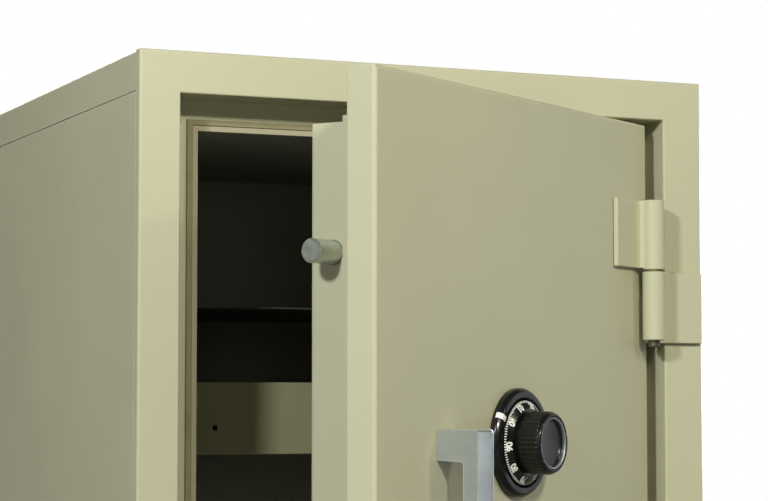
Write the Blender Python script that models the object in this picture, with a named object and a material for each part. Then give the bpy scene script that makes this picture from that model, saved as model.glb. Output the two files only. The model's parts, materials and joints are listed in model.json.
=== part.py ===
"""Steel fire safe for documents, with its door standing ajar.

Metres, +Z up. The front looks along -Y and the floor is Z = 0. The door and everything on it is modelled
shut, then turned about the hinge line by REST_OPEN.
"""

import math

import bmesh
import bpy
from mathutils import Matrix, Vector

# ---- cabinet ----
WIDTH = 0.600
DEPTH = 0.570
HEIGHT = 0.726
GAP = 0.0003
SHEET = 0.002
FRAME_SHEET = 0.003
BORDER_LEFT = 0.040
BORDER_RIGHT = 0.044
BORDER_TOP = 0.040
FRAME_RETURN = 0.012
OUTER_ROUND = 0.003
RECESS_DEPTH = 0.040
LIP_WIDTH = 0.030
CAP_SKIRT = 0.038
SEAM = 0.0008
SHEET_ROUND = 0.0005
LINER_SHEET = 0.0012
LINER_BACK = 0.502
LINER_FLANGE = 0.0052
LINER_FLANGE_SHEET = 0.0015
SEAL_WIDTH = 0.0055
SEAL_HEIGHT = 0.0025

# ---- inside ----
SHELF_FRONT = 0.125
SHELF_BACK = 0.495
UPPER_SHELF_DROP = 0.2322
TRAY_TOP_DROP = 0.3069
TRAY_BOTTOM_DROP = 0.3781
SHELF_SIDE_GAP = 0.001
TRAY_SHEET = 0.0015
SHELF_ROUND = 0.0004
LEDGE = 0.012
TRAY_HOLE_RADIUS = 0.003
TRAY_HOLE_LEFT = 0.119
TRAY_HOLE_DROP = 0.3516

# ---- door ----
REST_OPEN = math.radians(33.75)
HINGE_LEFT = 0.534
HINGE_FORWARD = 0.016
DOOR_GAP = 0.004
DOOR_GAP_TOP = 0.005
SLAB = 0.028
DOOR_SHEET = 0.0025
DOOR_ROUND = 0.004
BACK_PLATE_INSET = 0.002
BACK_PLATE = 0.0015
PLUG_INSET = 0.036
PLUG_RIGHT = 0.512
PLUG_STEP_DEPTH = 0.057
BOLT_WALL_LEFT = 0.1175
PLUG_BACK = 0.1141
PLUG_SHEET = 0.0015
COVER_FLANGE = 0.014
SCREW_HOLE = 0.0026
SCREW_RADIUS = 0.0022
SCREW_REACH = 0.0045
SCREW_HEAD_RADIUS = 0.0045
SCREW_HEAD = 0.0024
MECHANISM_PLATE = 0.0623
MECHANISM_SHEET = 0.002

# ---- hinges ----
HINGE_DROP = 0.195
KNUCKLE_RADIUS = 0.01125
KNUCKLE_LENGTH = 0.070
LEAF = 0.005
LEAF_ROUND = 0.0007
LEAF_STEP_DOOR = 0.0018
LEAF_STEP_FRAME = 0.0025
KNUCKLE_TRIM = 0.0012
KNUCKLE_ROUND = 0.0008
LEAF_REACH_DOOR = 0.0575
LEAF_REACH_FRAME = 0.063
PIN_RADIUS = 0.006
PIN_TAIL = 0.007
PIN_CHAMFER = 0.001
WASHER = 0.001

# ---- bolts ----
BOLT_RADIUS = 0.01075
BOLT_DEPTH = 0.0924
BOLT_TIP_LEFT = 0.0835
BOLT_DROP = 0.1955
BOLT_CHAMFER = 0.002
BOLT_FORK = 0.0086
BOLT_FORK_REACH = 0.0144
RUNNING_GAP = 0.00035
CARRIAGE_LEFT = 0.192
CARRIAGE_WIDTH = 0.024
CARRIAGE_SHEET = 0.008
CARRIAGE_OVERRUN = 0.003
BOLT_THROW = 0.028
GUIDE_LENGTH = 0.0307
GUIDE_SIZE = 0.040
GUIDE_BACK = 0.107
GUIDE_ROUND = 0.001
SOCKET_SIZE = 0.038
SOCKET_SHEET = 0.002
SOCKET_REACH = 0.0235
STRIKE_HOLE = 0.025

# ---- handle ----
CONTROL_DROP = 0.363
HANDLE_LEFT = 0.1545
HANDLE_SECTION = 0.0263
HANDLE_STAND_OFF = 0.0265
HANDLE_THICK = 0.0135
HANDLE_GRIP = 0.108
HANDLE_ROUND = 0.002
SPINDLE_RADIUS = 0.006
SPINDLE_SEAT = 0.015
SHOULDER = 0.002
CAM_SQUARE = 0.0084
HANDLE_TUBE_RADIUS = 0.0085
CAM_FRONT = 0.076
CAM_SHEET = 0.006
CAM_PIN_RADIUS = 0.004
CAM_PIN_REACH = 0.050
CAM_PIN_PEEP = 0.001
CAM_SLOT_PLAY = 0.0006
CAM_WALL = 0.007
CAM_HUB = 0.016

# ---- combination lock ----
DIAL_LEFT = 0.280
DIAL_RING_RADIUS = 0.0495
DIAL_RING_BORE = 0.0396
DIAL_RING_HEIGHT = 0.009
DIAL_RING_SLOPE = 0.0033
DIAL_RADIUS = 0.03865
DIAL_FACE_RADIUS = 0.0305
DIAL_FACE = 0.0137
DIAL_BACK = 0.0030
DIAL_SHOULDER = 0.0088
KNOB_RADIUS = 0.0284
KNOB_FRONT = 0.039
KNOB_DISH = 0.003
KNOB_EDGE = 0.0015
KNOB_LIP = 0.003
KNOB_SOCKET = 0.006
DIAL_SPINDLE_RADIUS = 0.004
DIAL_TUBE_RADIUS = 0.0065
LOCK_FRONT = 0.0646
LOCK_DEPTH = 0.0316
LOCK_WIDTH = 0.060
LOCK_HEIGHT = 0.082
LOCK_WALL = 0.0025
LOCK_COVER = 0.002
WHEEL_RADIUS = 0.020
WHEEL_SHEET = 0.0024
WHEEL_PITCH = 0.0036
FIRST_WHEEL = 0.070
WHEEL_POST_RADIUS = 0.006
GATE = 0.005
DRIVE_FRONT = 0.0835
DRIVE_SHEET = 0.003
LOCK_BOLT_FRONT = 0.0885
LOCK_BOLT_SHEET = 0.006
LOCK_BOLT_NOSE = 0.014
LOCK_BOLT_BODY = 0.024
LOCK_BOLT_TRAVEL = 0.010
LOCK_BOLT_PEEP = 0.001
LOCK_BOLT_HEAD = 0.0125
ARM_GAP = 0.004
NOTCH_PLAY = 0.0006

# ---- where the main faces lie ----
LEFT = -WIDTH / 2
RIGHT = WIDTH / 2
FRONT = -DEPTH / 2
BACK = DEPTH / 2
OPEN_LEFT = LEFT + BORDER_LEFT
OPEN_RIGHT = RIGHT - BORDER_RIGHT
OPEN_TOP = HEIGHT - BORDER_TOP
OPEN_BOTTOM = BORDER_TOP
INNER_LEFT = OPEN_LEFT + LIP_WIDTH
INNER_RIGHT = OPEN_RIGHT - LIP_WIDTH
INNER_TOP = OPEN_TOP - LIP_WIDTH
INNER_BOTTOM = OPEN_BOTTOM + LIP_WIDTH
DOOR_LEFT = OPEN_LEFT + DOOR_GAP
DOOR_RIGHT = OPEN_RIGHT - DOOR_GAP
DOOR_TOP = OPEN_TOP - DOOR_GAP_TOP
DOOR_BOTTOM = OPEN_BOTTOM + DOOR_GAP_TOP
PLUG_LEFT = DOOR_LEFT + PLUG_INSET
PLUG_TOP = DOOR_TOP - PLUG_INSET
PLUG_BOTTOM = DOOR_BOTTOM + PLUG_INSET
PLUG_START = FRONT + SLAB + BACK_PLATE + 2 * GAP
PLUG_RIGHT_X = LEFT + PLUG_RIGHT
BOLT_WALL_X = LEFT + BOLT_WALL_LEFT
COVER_FRONT = FRONT + PLUG_BACK - PLUG_SHEET
HINGE_X = LEFT + HINGE_LEFT
HINGE_Y = FRONT - HINGE_FORWARD
HANDLE_X = LEFT + HANDLE_LEFT
DIAL_X = LEFT + DIAL_LEFT
CONTROL_Z = HEIGHT - CONTROL_DROP
BOLT_Y = FRONT + BOLT_DEPTH
BOLT_HEIGHTS = {"upper": HEIGHT - BOLT_DROP, "lower": BOLT_DROP}
HINGE_HEIGHTS = {"upper": HEIGHT - HINGE_DROP, "lower": HINGE_DROP}
LOCK_BACK = LOCK_FRONT + LOCK_DEPTH
LOCK_TOP = CONTROL_Z + LOCK_HEIGHT / 2
LOCK_FOOT = CONTROL_Z - LOCK_HEIGHT / 2
CAM_RISE = BOLT_THROW / (math.pi / 2)

TINY = 0.00001
ROUND_STEPS = 3
FINE = 48
MEDIUM = 28
COARSE = 20
SMALL = 12

# ---- finishes: sRGB colour, roughness and metallic value ----
PAINTED = ((0.780, 0.778, 0.655), 0.42)
DARK_PAINT = ((0.16, 0.16, 0.15), 0.55)
STEEL = ((0.66, 0.66, 0.66), 0.32, 1.0)
PLATED = ((0.62, 0.61, 0.56), 0.38, 1.0)
CHROME = ((0.72, 0.73, 0.76), 0.18, 1.0)
BRASS = ((0.78, 0.65, 0.36), 0.3, 1.0)
FILL = ((0.62, 0.60, 0.56), 0.95)
BLACK = ((0.035, 0.035, 0.035), 0.28)
ZINC = ((0.55, 0.55, 0.56), 0.45, 1.0)
SEAL = ((0.42, 0.36, 0.27), 0.85)


def clear_scene():
    for obj in list(bpy.data.objects):
        bpy.data.objects.remove(obj, do_unlink=True)


def linear(channel):
    return channel / 12.92 if channel <= 0.04045 else ((channel + 0.055) / 1.055) ** 2.4


def material(name, colour, roughness, metallic=0.0):
    made = bpy.data.materials.new(name)
    made.use_nodes = True
    shader = made.node_tree.nodes["Principled BSDF"]
    shader.inputs["Base Color"].default_value = (*[linear(c) for c in colour], 1.0)
    shader.inputs["Roughness"].default_value = roughness
    shader.inputs["Metallic"].default_value = metallic
    return made


def anchor(name, spot, turn=0.0):
    """An empty on a joint axis."""
    empty = bpy.data.objects.new(name, None)
    empty.empty_display_size = 0.03
    empty.location = spot
    empty.rotation_euler = (0.0, 0.0, turn)
    bpy.context.scene.collection.objects.link(empty)
    return empty


def piece(name, bm, finish, door=None, origin=(0.0, 0.0, 0.0)):
    """Turns a mesh built in the shut position into an object whose origin lies at `origin`."""
    bmesh.ops.remove_doubles(bm, verts=bm.verts, dist=TINY)
    bmesh.ops.dissolve_degenerate(bm, edges=bm.edges, dist=TINY)
    bmesh.ops.translate(bm, verts=bm.verts, vec=-Vector(origin))
    bmesh.ops.recalc_face_normals(bm, faces=bm.faces)
    mesh = bpy.data.meshes.new(name)
    bm.to_mesh(mesh)
    bm.free()
    mesh.shade_smooth()
    mesh.set_sharp_from_angle(angle=math.radians(32))
    mesh.materials.append(material(name + "_finish", *finish))
    obj = bpy.data.objects.new(name, mesh)
    obj.location = origin
    bpy.context.scene.collection.objects.link(obj)
    if door:
        obj.parent = door
        obj.matrix_parent_inverse = Matrix.Translation((-HINGE_X, -HINGE_Y, 0.0))
    return obj


def box(x, y, z):
    """A block between pairs of X, Y and Z values."""
    bm = bmesh.new()
    for vert in bmesh.ops.create_cube(bm, size=1.0)["verts"]:
        vert.co = [pair[0] if side < 0 else pair[1] for side, pair in zip(vert.co, (x, y, z))]
    return bm


def bevelled(bm, width, steps=1):
    bmesh.ops.bevel(bm, geom=bm.edges[:], offset=width, segments=steps, profile=0.5, affect="EDGES")
    return bm


def prism(outline, axis, low, high):
    """Extrudes a closed outline along Y or Z. The outline is (x, z) for Y and (x, y) for Z."""
    bm = bmesh.new()
    ends = []
    for level in (low, high):
        if axis == "Y":
            ends.append([bm.verts.new((a, level, b)) for a, b in outline])
        else:
            ends.append([bm.verts.new((a, b, level)) for a, b in outline])
    bm.faces.new(ends[0])
    bm.faces.new(list(reversed(ends[1])))
    for i in range(len(outline)):
        j = (i + 1) % len(outline)
        bm.faces.new((ends[0][i], ends[1][i], ends[1][j], ends[0][j]))
    return bm


def nested(sections, axis="Y", capped=False):
    """Joins rectangles (a0, a1, b0, b1, level) in turn into one wall of folded sheet.

    The rectangles lie across Y (a is X, b is Z) or across Z (a is X, b is Y). An uncapped run closes on
    its first rectangle, and a capped one is closed by its first and last.
    """
    bm = bmesh.new()
    loops = []
    for a0, a1, b0, b1, level in sections:
        corners = [(a0, b0), (a1, b0), (a1, b1), (a0, b1)]
        if axis == "Y":
            loops.append([bm.verts.new((a, level, b)) for a, b in corners])
        else:
            loops.append([bm.verts.new((a, b, level)) for a, b in corners])
    count = len(loops)
    for i in range(count - 1 if capped else count):
        first, second = loops[i], loops[(i + 1) % count]
        for k in range(4):
            n = (k + 1) % 4
            bm.faces.new((first[k], first[n], second[n], second[k]))
    if capped:
        bm.faces.new(loops[0])
        bm.faces.new(list(reversed(loops[-1])))
    return bm


def grown(rect, amount, level):
    a0, a1, b0, b1 = rect
    return (a0 - amount, a1 + amount, b0 - amount, b1 + amount, level)


def turned(profile, centre, axis, steps, closed=False):
    """Turns a (radius, distance) profile about an axis through `centre`. An open one ends on the axis."""
    bm = bmesh.new()
    frames = {
        "X": (Vector((1, 0, 0)), Vector((0, 1, 0)), Vector((0, 0, 1))),
        "Y": (Vector((0, 1, 0)), Vector((0, 0, 1)), Vector((1, 0, 0))),
        "Z": (Vector((0, 0, 1)), Vector((1, 0, 0)), Vector((0, 1, 0))),
    }
    along, across, up = frames[axis]
    rings = []
    for radius, distance in profile:
        base = Vector(centre) + along * distance
        if radius == 0:
            rings.append([bm.verts.new(base)])
            continue
        ring = []
        for i in range(steps):
            angle = 2 * math.pi * i / steps
            ring.append(bm.verts.new(base + (across * math.cos(angle) + up * math.sin(angle)) * radius))
        rings.append(ring)
    count = len(rings)
    for i in range(count if closed else count - 1):
        join_rings(bm, rings[i], rings[(i + 1) % count], steps)
    return bm


def join_rings(bm, first, second, steps):
    for k in range(steps):
        n = (k + 1) % steps
        if len(first) == 1:
            bm.faces.new((first[0], second[n], second[k]))
        elif len(second) == 1:
            bm.faces.new((first[k], first[n], second[0]))
        else:
            bm.faces.new((first[k], first[n], second[n], second[k]))


def rod(centre, axis, low, high, radius, steps=MEDIUM, chamfer=0.0):
    profile = [(0, low), (radius - chamfer, low)]
    if chamfer:
        profile += [(radius, low + chamfer), (radius, high - chamfer)]
    else:
        profile += [(radius, low), (radius, high)]
    profile += [(radius - chamfer, high), (0, high)]
    return turned(list(dict.fromkeys(profile)), centre, axis, steps)


def tube(centre, axis, low, high, outer, inner, steps=MEDIUM):
    profile = [(inner, low), (outer, low), (outer, high), (inner, high)]
    return turned(profile, centre, axis, steps, closed=True)


def combined(base, others, how):
    """Cuts the other meshes from the base or joins them to it."""
    body = helper("work", base)
    for other in others:
        tool = helper("tool", other)
        step = body.modifiers.new("step", "BOOLEAN")
        step.operation = how
        step.solver = "EXACT"
        step.object = tool
    shaped = body.evaluated_get(bpy.context.evaluated_depsgraph_get())
    bm = bmesh.new()
    bm.from_mesh(shaped.to_mesh())
    shaped.to_mesh_clear()
    for step in list(body.modifiers):
        drop(step.object)
    drop(body)
    return bm


def helper(name, bm):
    bmesh.ops.remove_doubles(bm, verts=bm.verts, dist=TINY)
    bmesh.ops.dissolve_degenerate(bm, edges=bm.edges, dist=TINY)
    bmesh.ops.recalc_face_normals(bm, faces=bm.faces)
    mesh = bpy.data.meshes.new(name)
    bm.to_mesh(mesh)
    bm.free()
    obj = bpy.data.objects.new(name, mesh)
    obj.hide_render = True
    obj.display_type = "WIRE"
    bpy.context.scene.collection.objects.link(obj)
    return obj


def drop(obj):
    mesh = obj.data
    bpy.data.objects.remove(obj, do_unlink=True)
    bpy.data.meshes.remove(mesh)


def cut(base, *tools):
    return combined(base, tools, "DIFFERENCE")


def join(base, *others):
    return combined(base, others, "UNION")


def arc(centre, radius, start, end, steps=ROUND_STEPS):
    """Points of an arc, from one angle to another in degrees."""
    points = []
    for i in range(steps + 1):
        angle = math.radians(start + (end - start) * i / steps)
        points.append((centre[0] + radius * math.cos(angle), centre[1] + radius * math.sin(angle)))
    return points


# ---- cabinet pieces ----
def opening_rect():
    return (OPEN_LEFT, OPEN_RIGHT, OPEN_BOTTOM, OPEN_TOP)


def inner_rect():
    return (INNER_LEFT, INNER_RIGHT, INNER_BOTTOM, INNER_TOP)


def front_frame():
    """Rounded front border, the sides of the recess and the lip that the door plug passes."""
    outer = (LEFT, RIGHT, 0.0, HEIGHT)
    opening = opening_rect()
    lip_hole = grown(inner_rect(), LINER_SHEET + GAP, 0)[:4]
    sections = [grown(outer, 0, FRONT + FRAME_RETURN)]
    for across, along in arc((OUTER_ROUND, OUTER_ROUND), OUTER_ROUND, 180, 270):
        sections.append(grown(outer, -across, FRONT + along))
    rim = FRAME_SHEET / 3
    sections += [
        grown(opening, rim, FRONT),
        grown(opening, 0, FRONT + rim),
        grown(opening, 0, FRONT + RECESS_DEPTH),
        grown(lip_hole, 0, FRONT + RECESS_DEPTH),
        grown(lip_hole, 0, FRONT + RECESS_DEPTH + FRAME_SHEET),
        grown(opening, FRAME_SHEET, FRONT + RECESS_DEPTH + FRAME_SHEET),
        grown(opening, FRAME_SHEET, FRONT + FRAME_SHEET),
        grown(outer, -SHEET, FRONT + FRAME_SHEET),
        grown(outer, -SHEET, FRONT + FRAME_RETURN),
    ]
    piece("front_frame", nested(sections), PAINTED)


def side_wrap():
    """Sides and floor of the cabinet, folded from one sheet."""
    top = HEIGHT - CAP_SKIRT - SEAM
    corner = OUTER_ROUND
    outline = [(LEFT, top)]
    outline += arc((LEFT + corner, corner), corner, 180, 270)
    outline += arc((RIGHT - corner, corner), corner, 270, 360)
    outline += [(RIGHT, top), (RIGHT - SHEET, top), (RIGHT - SHEET, SHEET), (LEFT + SHEET, SHEET)]
    outline += [(LEFT + SHEET, top)]
    piece("side_wrap", prism(outline, "Y", FRONT + FRAME_RETURN + GAP, BACK), PAINTED)


def top_cap():
    """Lid sheet with skirts at both sides and the back."""
    foot = HEIGHT - CAP_SKIRT
    corner = OUTER_ROUND
    outline = [(LEFT, foot), (LEFT + SHEET, foot), (LEFT + SHEET, HEIGHT - SHEET)]
    outline += [(RIGHT - SHEET, HEIGHT - SHEET), (RIGHT - SHEET, foot), (RIGHT, foot)]
    outline += arc((RIGHT - corner, HEIGHT - corner), corner, 0, 90)
    outline += arc((LEFT + corner, HEIGHT - corner), corner, 90, 180)
    lid = prism(outline, "Y", FRONT + FRAME_RETURN + GAP, BACK)
    overlap = SHEET / 2
    skirt = box((LEFT + overlap, RIGHT - overlap), (BACK - SHEET, BACK), (foot, HEIGHT - overlap))
    piece("top_cap", join(lid, skirt), PAINTED)


def back_panel():
    inside = SHEET + GAP
    bm = box((LEFT + inside, RIGHT - inside), (BACK - SHEET, BACK), (inside, HEIGHT - CAP_SKIRT - SEAM))
    piece("back_panel", bevelled(bm, SHEET_ROUND), PAINTED)


def body_insulation():
    """Cast fireproof fill of the walls, open to the front and, for the side slab, to the left."""
    inside = SHEET + GAP
    block = box(
        (LEFT + inside, RIGHT - inside),
        (FRONT + FRAME_SHEET + GAP, BACK - inside),
        (inside, HEIGHT - inside),
    )
    margin = FRAME_SHEET + GAP
    recess = box(
        (OPEN_LEFT - margin, OPEN_RIGHT + margin),
        (FRONT - GUIDE_SIZE, FRONT + RECESS_DEPTH + margin),
        (OPEN_BOTTOM - margin, OPEN_TOP + margin),
    )
    margin = LINER_SHEET + GAP
    hollow = box(
        (LEFT, INNER_RIGHT + margin),
        (FRONT + RECESS_DEPTH + FRAME_SHEET, FRONT + LINER_BACK + margin),
        (INNER_BOTTOM - margin, INNER_TOP + margin),
    )
    piece("body_insulation", cut(block, recess, hollow), FILL)


def side_insulation():
    """Slab of fill in the left wall, with a pocket for each bolt socket."""
    slab = box(
        (LEFT + SHEET + GAP, INNER_LEFT - LINER_SHEET - GAP),
        (FRONT + RECESS_DEPTH + FRAME_SHEET + GAP, FRONT + LINER_BACK + LINER_SHEET),
        (INNER_BOTTOM - LINER_SHEET, INNER_TOP + LINER_SHEET),
    )
    half = SOCKET_SIZE / 2 + GAP
    pockets = []
    for height in BOLT_HEIGHTS.values():
        pockets.append(
            box(
                (INNER_LEFT - LINER_SHEET - SOCKET_REACH - 2 * GAP, INNER_LEFT),
                (BOLT_Y - half, BOLT_Y + half),
                (height - half, height + half),
            )
        )
    piece("side_insulation", cut(slab, *pockets), FILL)


def inner_liner():
    """Five-sided inner box with a narrow flange over the edge of the lip."""
    inner = inner_rect()
    flange_front = FRONT + RECESS_DEPTH - GAP - LINER_FLANGE_SHEET
    back = FRONT + LINER_BACK
    sections = [
        grown(inner, 0, back),
        grown(inner, 0, flange_front + GAP),
        grown(inner, GAP, flange_front),
        grown(inner, LINER_FLANGE - GAP, flange_front),
        grown(inner, LINER_FLANGE, flange_front + GAP),
        grown(inner, LINER_FLANGE, flange_front + LINER_FLANGE_SHEET),
        grown(inner, LINER_SHEET, flange_front + LINER_FLANGE_SHEET),
        grown(inner, LINER_SHEET, back + LINER_SHEET),
    ]
    half = STRIKE_HOLE / 2
    strikes = []
    for height in BOLT_HEIGHTS.values():
        strikes.append(
            box(
                (INNER_LEFT - SOCKET_REACH, INNER_LEFT + SOCKET_REACH),
                (BOLT_Y - half, BOLT_Y + half),
                (height - half, height + half),
            )
        )
    piece("inner_liner", cut(nested(sections, capped=True), *strikes), DARK_PAINT)


def lip_seal():
    """Heat-swelling strip round the lip."""
    near = grown(inner_rect(), LINER_FLANGE + GAP, 0)[:4]
    high = FRONT + RECESS_DEPTH - GAP - SEAL_HEIGHT
    low = FRONT + RECESS_DEPTH - GAP
    edge = SEAL_HEIGHT / 5
    sections = [
        grown(near, 0, low),
        grown(near, 0, high + edge),
        grown(near, edge, high),
        grown(near, SEAL_WIDTH - edge, high),
        grown(near, SEAL_WIDTH, high + edge),
        grown(near, SEAL_WIDTH, low),
    ]
    piece("lip_seal", nested(sections), SEAL)


def bolt_socket(which, height):
    """Steel cup behind the strike hole of the liner."""
    half = SOCKET_SIZE / 2
    mouth = INNER_LEFT - LINER_SHEET - GAP
    far = mouth - SOCKET_REACH
    shell = box((far, mouth), (BOLT_Y - half, BOLT_Y + half), (height - half, height + half))
    half -= SOCKET_SHEET
    hollow = box(
        (far + SOCKET_SHEET, mouth + SOCKET_SHEET),
        (BOLT_Y - half, BOLT_Y + half),
        (height - half, height + half),
    )
    piece("bolt_socket_" + which, cut(shell, hollow), ZINC)


def upper_shelf():
    bm = box(
        (INNER_LEFT + SHELF_SIDE_GAP, INNER_RIGHT - SHELF_SIDE_GAP),
        (FRONT + SHELF_FRONT, FRONT + SHELF_BACK),
        (HEIGHT - UPPER_SHELF_DROP - TRAY_SHEET, HEIGHT - UPPER_SHELF_DROP),
    )
    piece("upper_shelf", bevelled(bm, SHELF_ROUND), DARK_PAINT)


def document_tray():
    """Fixed open-topped tray with a deep front, and one small hole in the front."""
    outer = (
        INNER_LEFT + SHELF_SIDE_GAP,
        INNER_RIGHT - SHELF_SIDE_GAP,
        FRONT + SHELF_FRONT,
        FRONT + SHELF_BACK,
    )
    top = HEIGHT - TRAY_TOP_DROP
    foot = HEIGHT - TRAY_BOTTOM_DROP
    edge = TRAY_SHEET / 3
    sections = [
        grown(outer, -TRAY_SHEET, foot + TRAY_SHEET),
        grown(outer, -TRAY_SHEET, top),
        grown(outer, -edge, top),
        grown(outer, 0, top - edge),
        grown(outer, 0, foot + edge),
        grown(outer, -edge, foot),
    ]
    hole = rod(
        (LEFT + TRAY_HOLE_LEFT, FRONT + SHELF_FRONT, HEIGHT - TRAY_HOLE_DROP),
        "Y", -TRAY_SHEET, 2 * TRAY_SHEET, TRAY_HOLE_RADIUS, SMALL,
    )
    piece("document_tray", cut(nested(sections, axis="Z", capped=True), hole), PAINTED)


def shelf_ledge(name, side, top):
    """Angle strip that carries one edge of a shelf. Side is -1 for the left wall and +1 for the right."""
    wall = (INNER_LEFT if side < 0 else INNER_RIGHT) - side * GAP
    thick = -side * TRAY_SHEET
    reach = -side * LEDGE
    outline = [
        (wall, top),
        (wall + reach, top),
        (wall + reach, top - TRAY_SHEET),
        (wall + thick, top - TRAY_SHEET),
        (wall + thick, top - LEDGE),
        (wall, top - LEDGE),
    ]
    inset = LEDGE / 2
    piece(name, prism(outline, "Y", FRONT + SHELF_FRONT + inset, FRONT + SHELF_BACK - inset), ZINC)


def hinge_leaf(name, spot, side, leaf_low, leaf_high, low, high, reach, door=None):
    """Leaf plate and its knuckle. Side is -1 for a leaf that reaches left and +1 for right."""
    back = HINGE_Y + HINGE_FORWARD - GAP
    front = back - LEAF
    tuck = GAP * 3
    ends = sorted((HINGE_X + side * reach, HINGE_X - side * tuck))
    plate = bevelled(box(ends, (front, back), (leaf_low, leaf_high)), LEAF_ROUND)
    web = [
        (HINGE_X + side * KNUCKLE_RADIUS * 1.45, front + GAP),
        (HINGE_X + side * KNUCKLE_RADIUS * 1.05, HINGE_Y + KNUCKLE_RADIUS * 0.80),
        (HINGE_X + side * KNUCKLE_RADIUS * 0.85, HINGE_Y + KNUCKLE_RADIUS * 0.35),
        (HINGE_X, HINGE_Y + KNUCKLE_RADIUS * 0.35),
        (HINGE_X, front + GAP),
    ]
    web_low = max(low, leaf_low) + GAP
    web_high = min(high, leaf_high) - GAP
    knuckle = rod((HINGE_X, HINGE_Y, 0), "Z", low, high, KNUCKLE_RADIUS, MEDIUM, KNUCKLE_ROUND)
    bore = rod((HINGE_X, HINGE_Y, 0), "Z", low - LEAF, high + LEAF, PIN_RADIUS + GAP, COARSE)
    whole = cut(join(plate, prism(web, "Z", web_low, web_high), knuckle), bore)
    piece(name, whole, PAINTED, door, spot)


def hinge(which, middle, door):
    """Lift-off hinge: door knuckle above, frame knuckle and its pin below, and a washer between them."""
    play = WASHER / 2 + GAP
    door_low = middle + play
    door_high = middle + play + KNUCKLE_LENGTH
    axis = (HINGE_X, HINGE_Y, middle)
    hinge_leaf(
        "hinge_door_leaf_" + which, axis, -1,
        door_low + LEAF_STEP_DOOR, door_high - GAP, door_low, door_high, LEAF_REACH_DOOR, door,
    )
    frame_high = middle - play
    frame_low = frame_high - KNUCKLE_LENGTH + KNUCKLE_TRIM
    hinge_leaf(
        "hinge_frame_leaf_" + which, axis, 1,
        frame_low - LEAF_STEP_FRAME, frame_high - GAP, frame_low, frame_high, LEAF_REACH_FRAME,
    )
    foot = frame_low - PIN_TAIL
    pin = rod((HINGE_X, HINGE_Y, 0), "Z", foot, door_high - LEAF, PIN_RADIUS, COARSE, PIN_CHAMFER)
    piece("hinge_pin_" + which, pin, STEEL, None, axis)
    ring = tube(axis, "Z", -WASHER / 2, WASHER / 2, KNUCKLE_RADIUS, PIN_RADIUS + GAP, COARSE)
    piece("hinge_washer_" + which, ring, BRASS, None, axis)


# ---- door pieces ----
def door_rect():
    return (DOOR_LEFT, DOOR_RIGHT, DOOR_BOTTOM, DOOR_TOP)


def through(x, radius, z=CONTROL_Z, low=-SLAB, high=PLUG_BACK):
    """A cutter along Y for a spindle or tube."""
    return rod((x, FRONT, z), "Y", low, high, radius, COARSE)


def door_skin(door):
    """Front sheet of the door with rounded edges and deep sides."""
    rect = door_rect()
    sections = [
        grown(rect, -DOOR_SHEET, FRONT + DOOR_SHEET),
        grown(rect, -DOOR_SHEET, FRONT + SLAB),
        grown(rect, 0, FRONT + SLAB),
    ]
    for across, along in arc((DOOR_ROUND, DOOR_ROUND), DOOR_ROUND, 180, 270, 4):
        sections.append(grown(rect, -across, FRONT + along))
    shell = nested(sections, capped=True)
    holes = [through(HANDLE_X, SPINDLE_RADIUS + GAP * 2), through(DIAL_X, DIAL_SPINDLE_RADIUS + GAP * 2)]
    piece("door_skin", cut(shell, *holes), PAINTED, door)


def door_insulation(door):
    edge = DOOR_SHEET + GAP
    block = box(
        (DOOR_LEFT + edge, DOOR_RIGHT - edge),
        (FRONT + edge, FRONT + SLAB - GAP),
        (DOOR_BOTTOM + edge, DOOR_TOP - edge),
    )
    piece("door_insulation", cut(block, *tube_holes()), FILL, door)


def tube_holes():
    return (
        through(HANDLE_X, HANDLE_TUBE_RADIUS + GAP),
        through(DIAL_X, DIAL_TUBE_RADIUS + GAP),
    )


def door_back_plate(door):
    plate = box(
        (DOOR_LEFT + BACK_PLATE_INSET, DOOR_RIGHT - BACK_PLATE_INSET),
        (FRONT + SLAB + GAP, FRONT + SLAB + GAP + BACK_PLATE),
        (DOOR_BOTTOM + BACK_PLATE_INSET, DOOR_TOP - BACK_PLATE_INSET),
    )
    piece("door_back_plate", cut(plate, *tube_holes()), PAINTED, door)


def plug_box(door):
    """Sides of the plug, stepped back on the bolt side, with a flange that carries the cover."""
    wide = (PLUG_LEFT, PLUG_RIGHT_X, PLUG_BOTTOM, PLUG_TOP)
    narrow = (BOLT_WALL_X, PLUG_RIGHT_X, PLUG_BOTTOM, PLUG_TOP)
    step = FRONT + PLUG_STEP_DEPTH
    end = COVER_FRONT - GAP
    sections = [
        grown(wide, 0, PLUG_START),
        grown(wide, 0, step),
        grown(narrow, 0, step),
        grown(narrow, 0, end),
        grown(narrow, -COVER_FLANGE, end),
        grown(narrow, -COVER_FLANGE, end - PLUG_SHEET),
        grown(narrow, -PLUG_SHEET, end - PLUG_SHEET),
        grown(narrow, -PLUG_SHEET, step - PLUG_SHEET),
        grown(wide, -PLUG_SHEET, step - PLUG_SHEET),
        grown(wide, -PLUG_SHEET, PLUG_START),
    ]
    holes = [
        rod((BOLT_WALL_X, BOLT_Y, height), "X", -2 * PLUG_SHEET, 2 * PLUG_SHEET, BOLT_RADIUS + RUNNING_GAP)
        for height in BOLT_HEIGHTS.values()
    ]
    holes += [screw_hole(x, z, end) for x, z in cover_screw_spots()]
    piece("plug_box", cut(nested(sections), *holes), PAINTED, door)


def cover_screw_spots():
    inset = COVER_FLANGE / 2
    columns = (BOLT_WALL_X + inset, PLUG_RIGHT_X - inset)
    rows = (PLUG_BOTTOM + 4 * inset, CONTROL_Z, PLUG_TOP - 4 * inset)
    return [(x, z) for x in columns for z in rows]


def screw_hole(x, z, level):
    return rod((x, level, z), "Y", -4 * PLUG_SHEET, 4 * PLUG_SHEET, SCREW_HOLE, SMALL)


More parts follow.
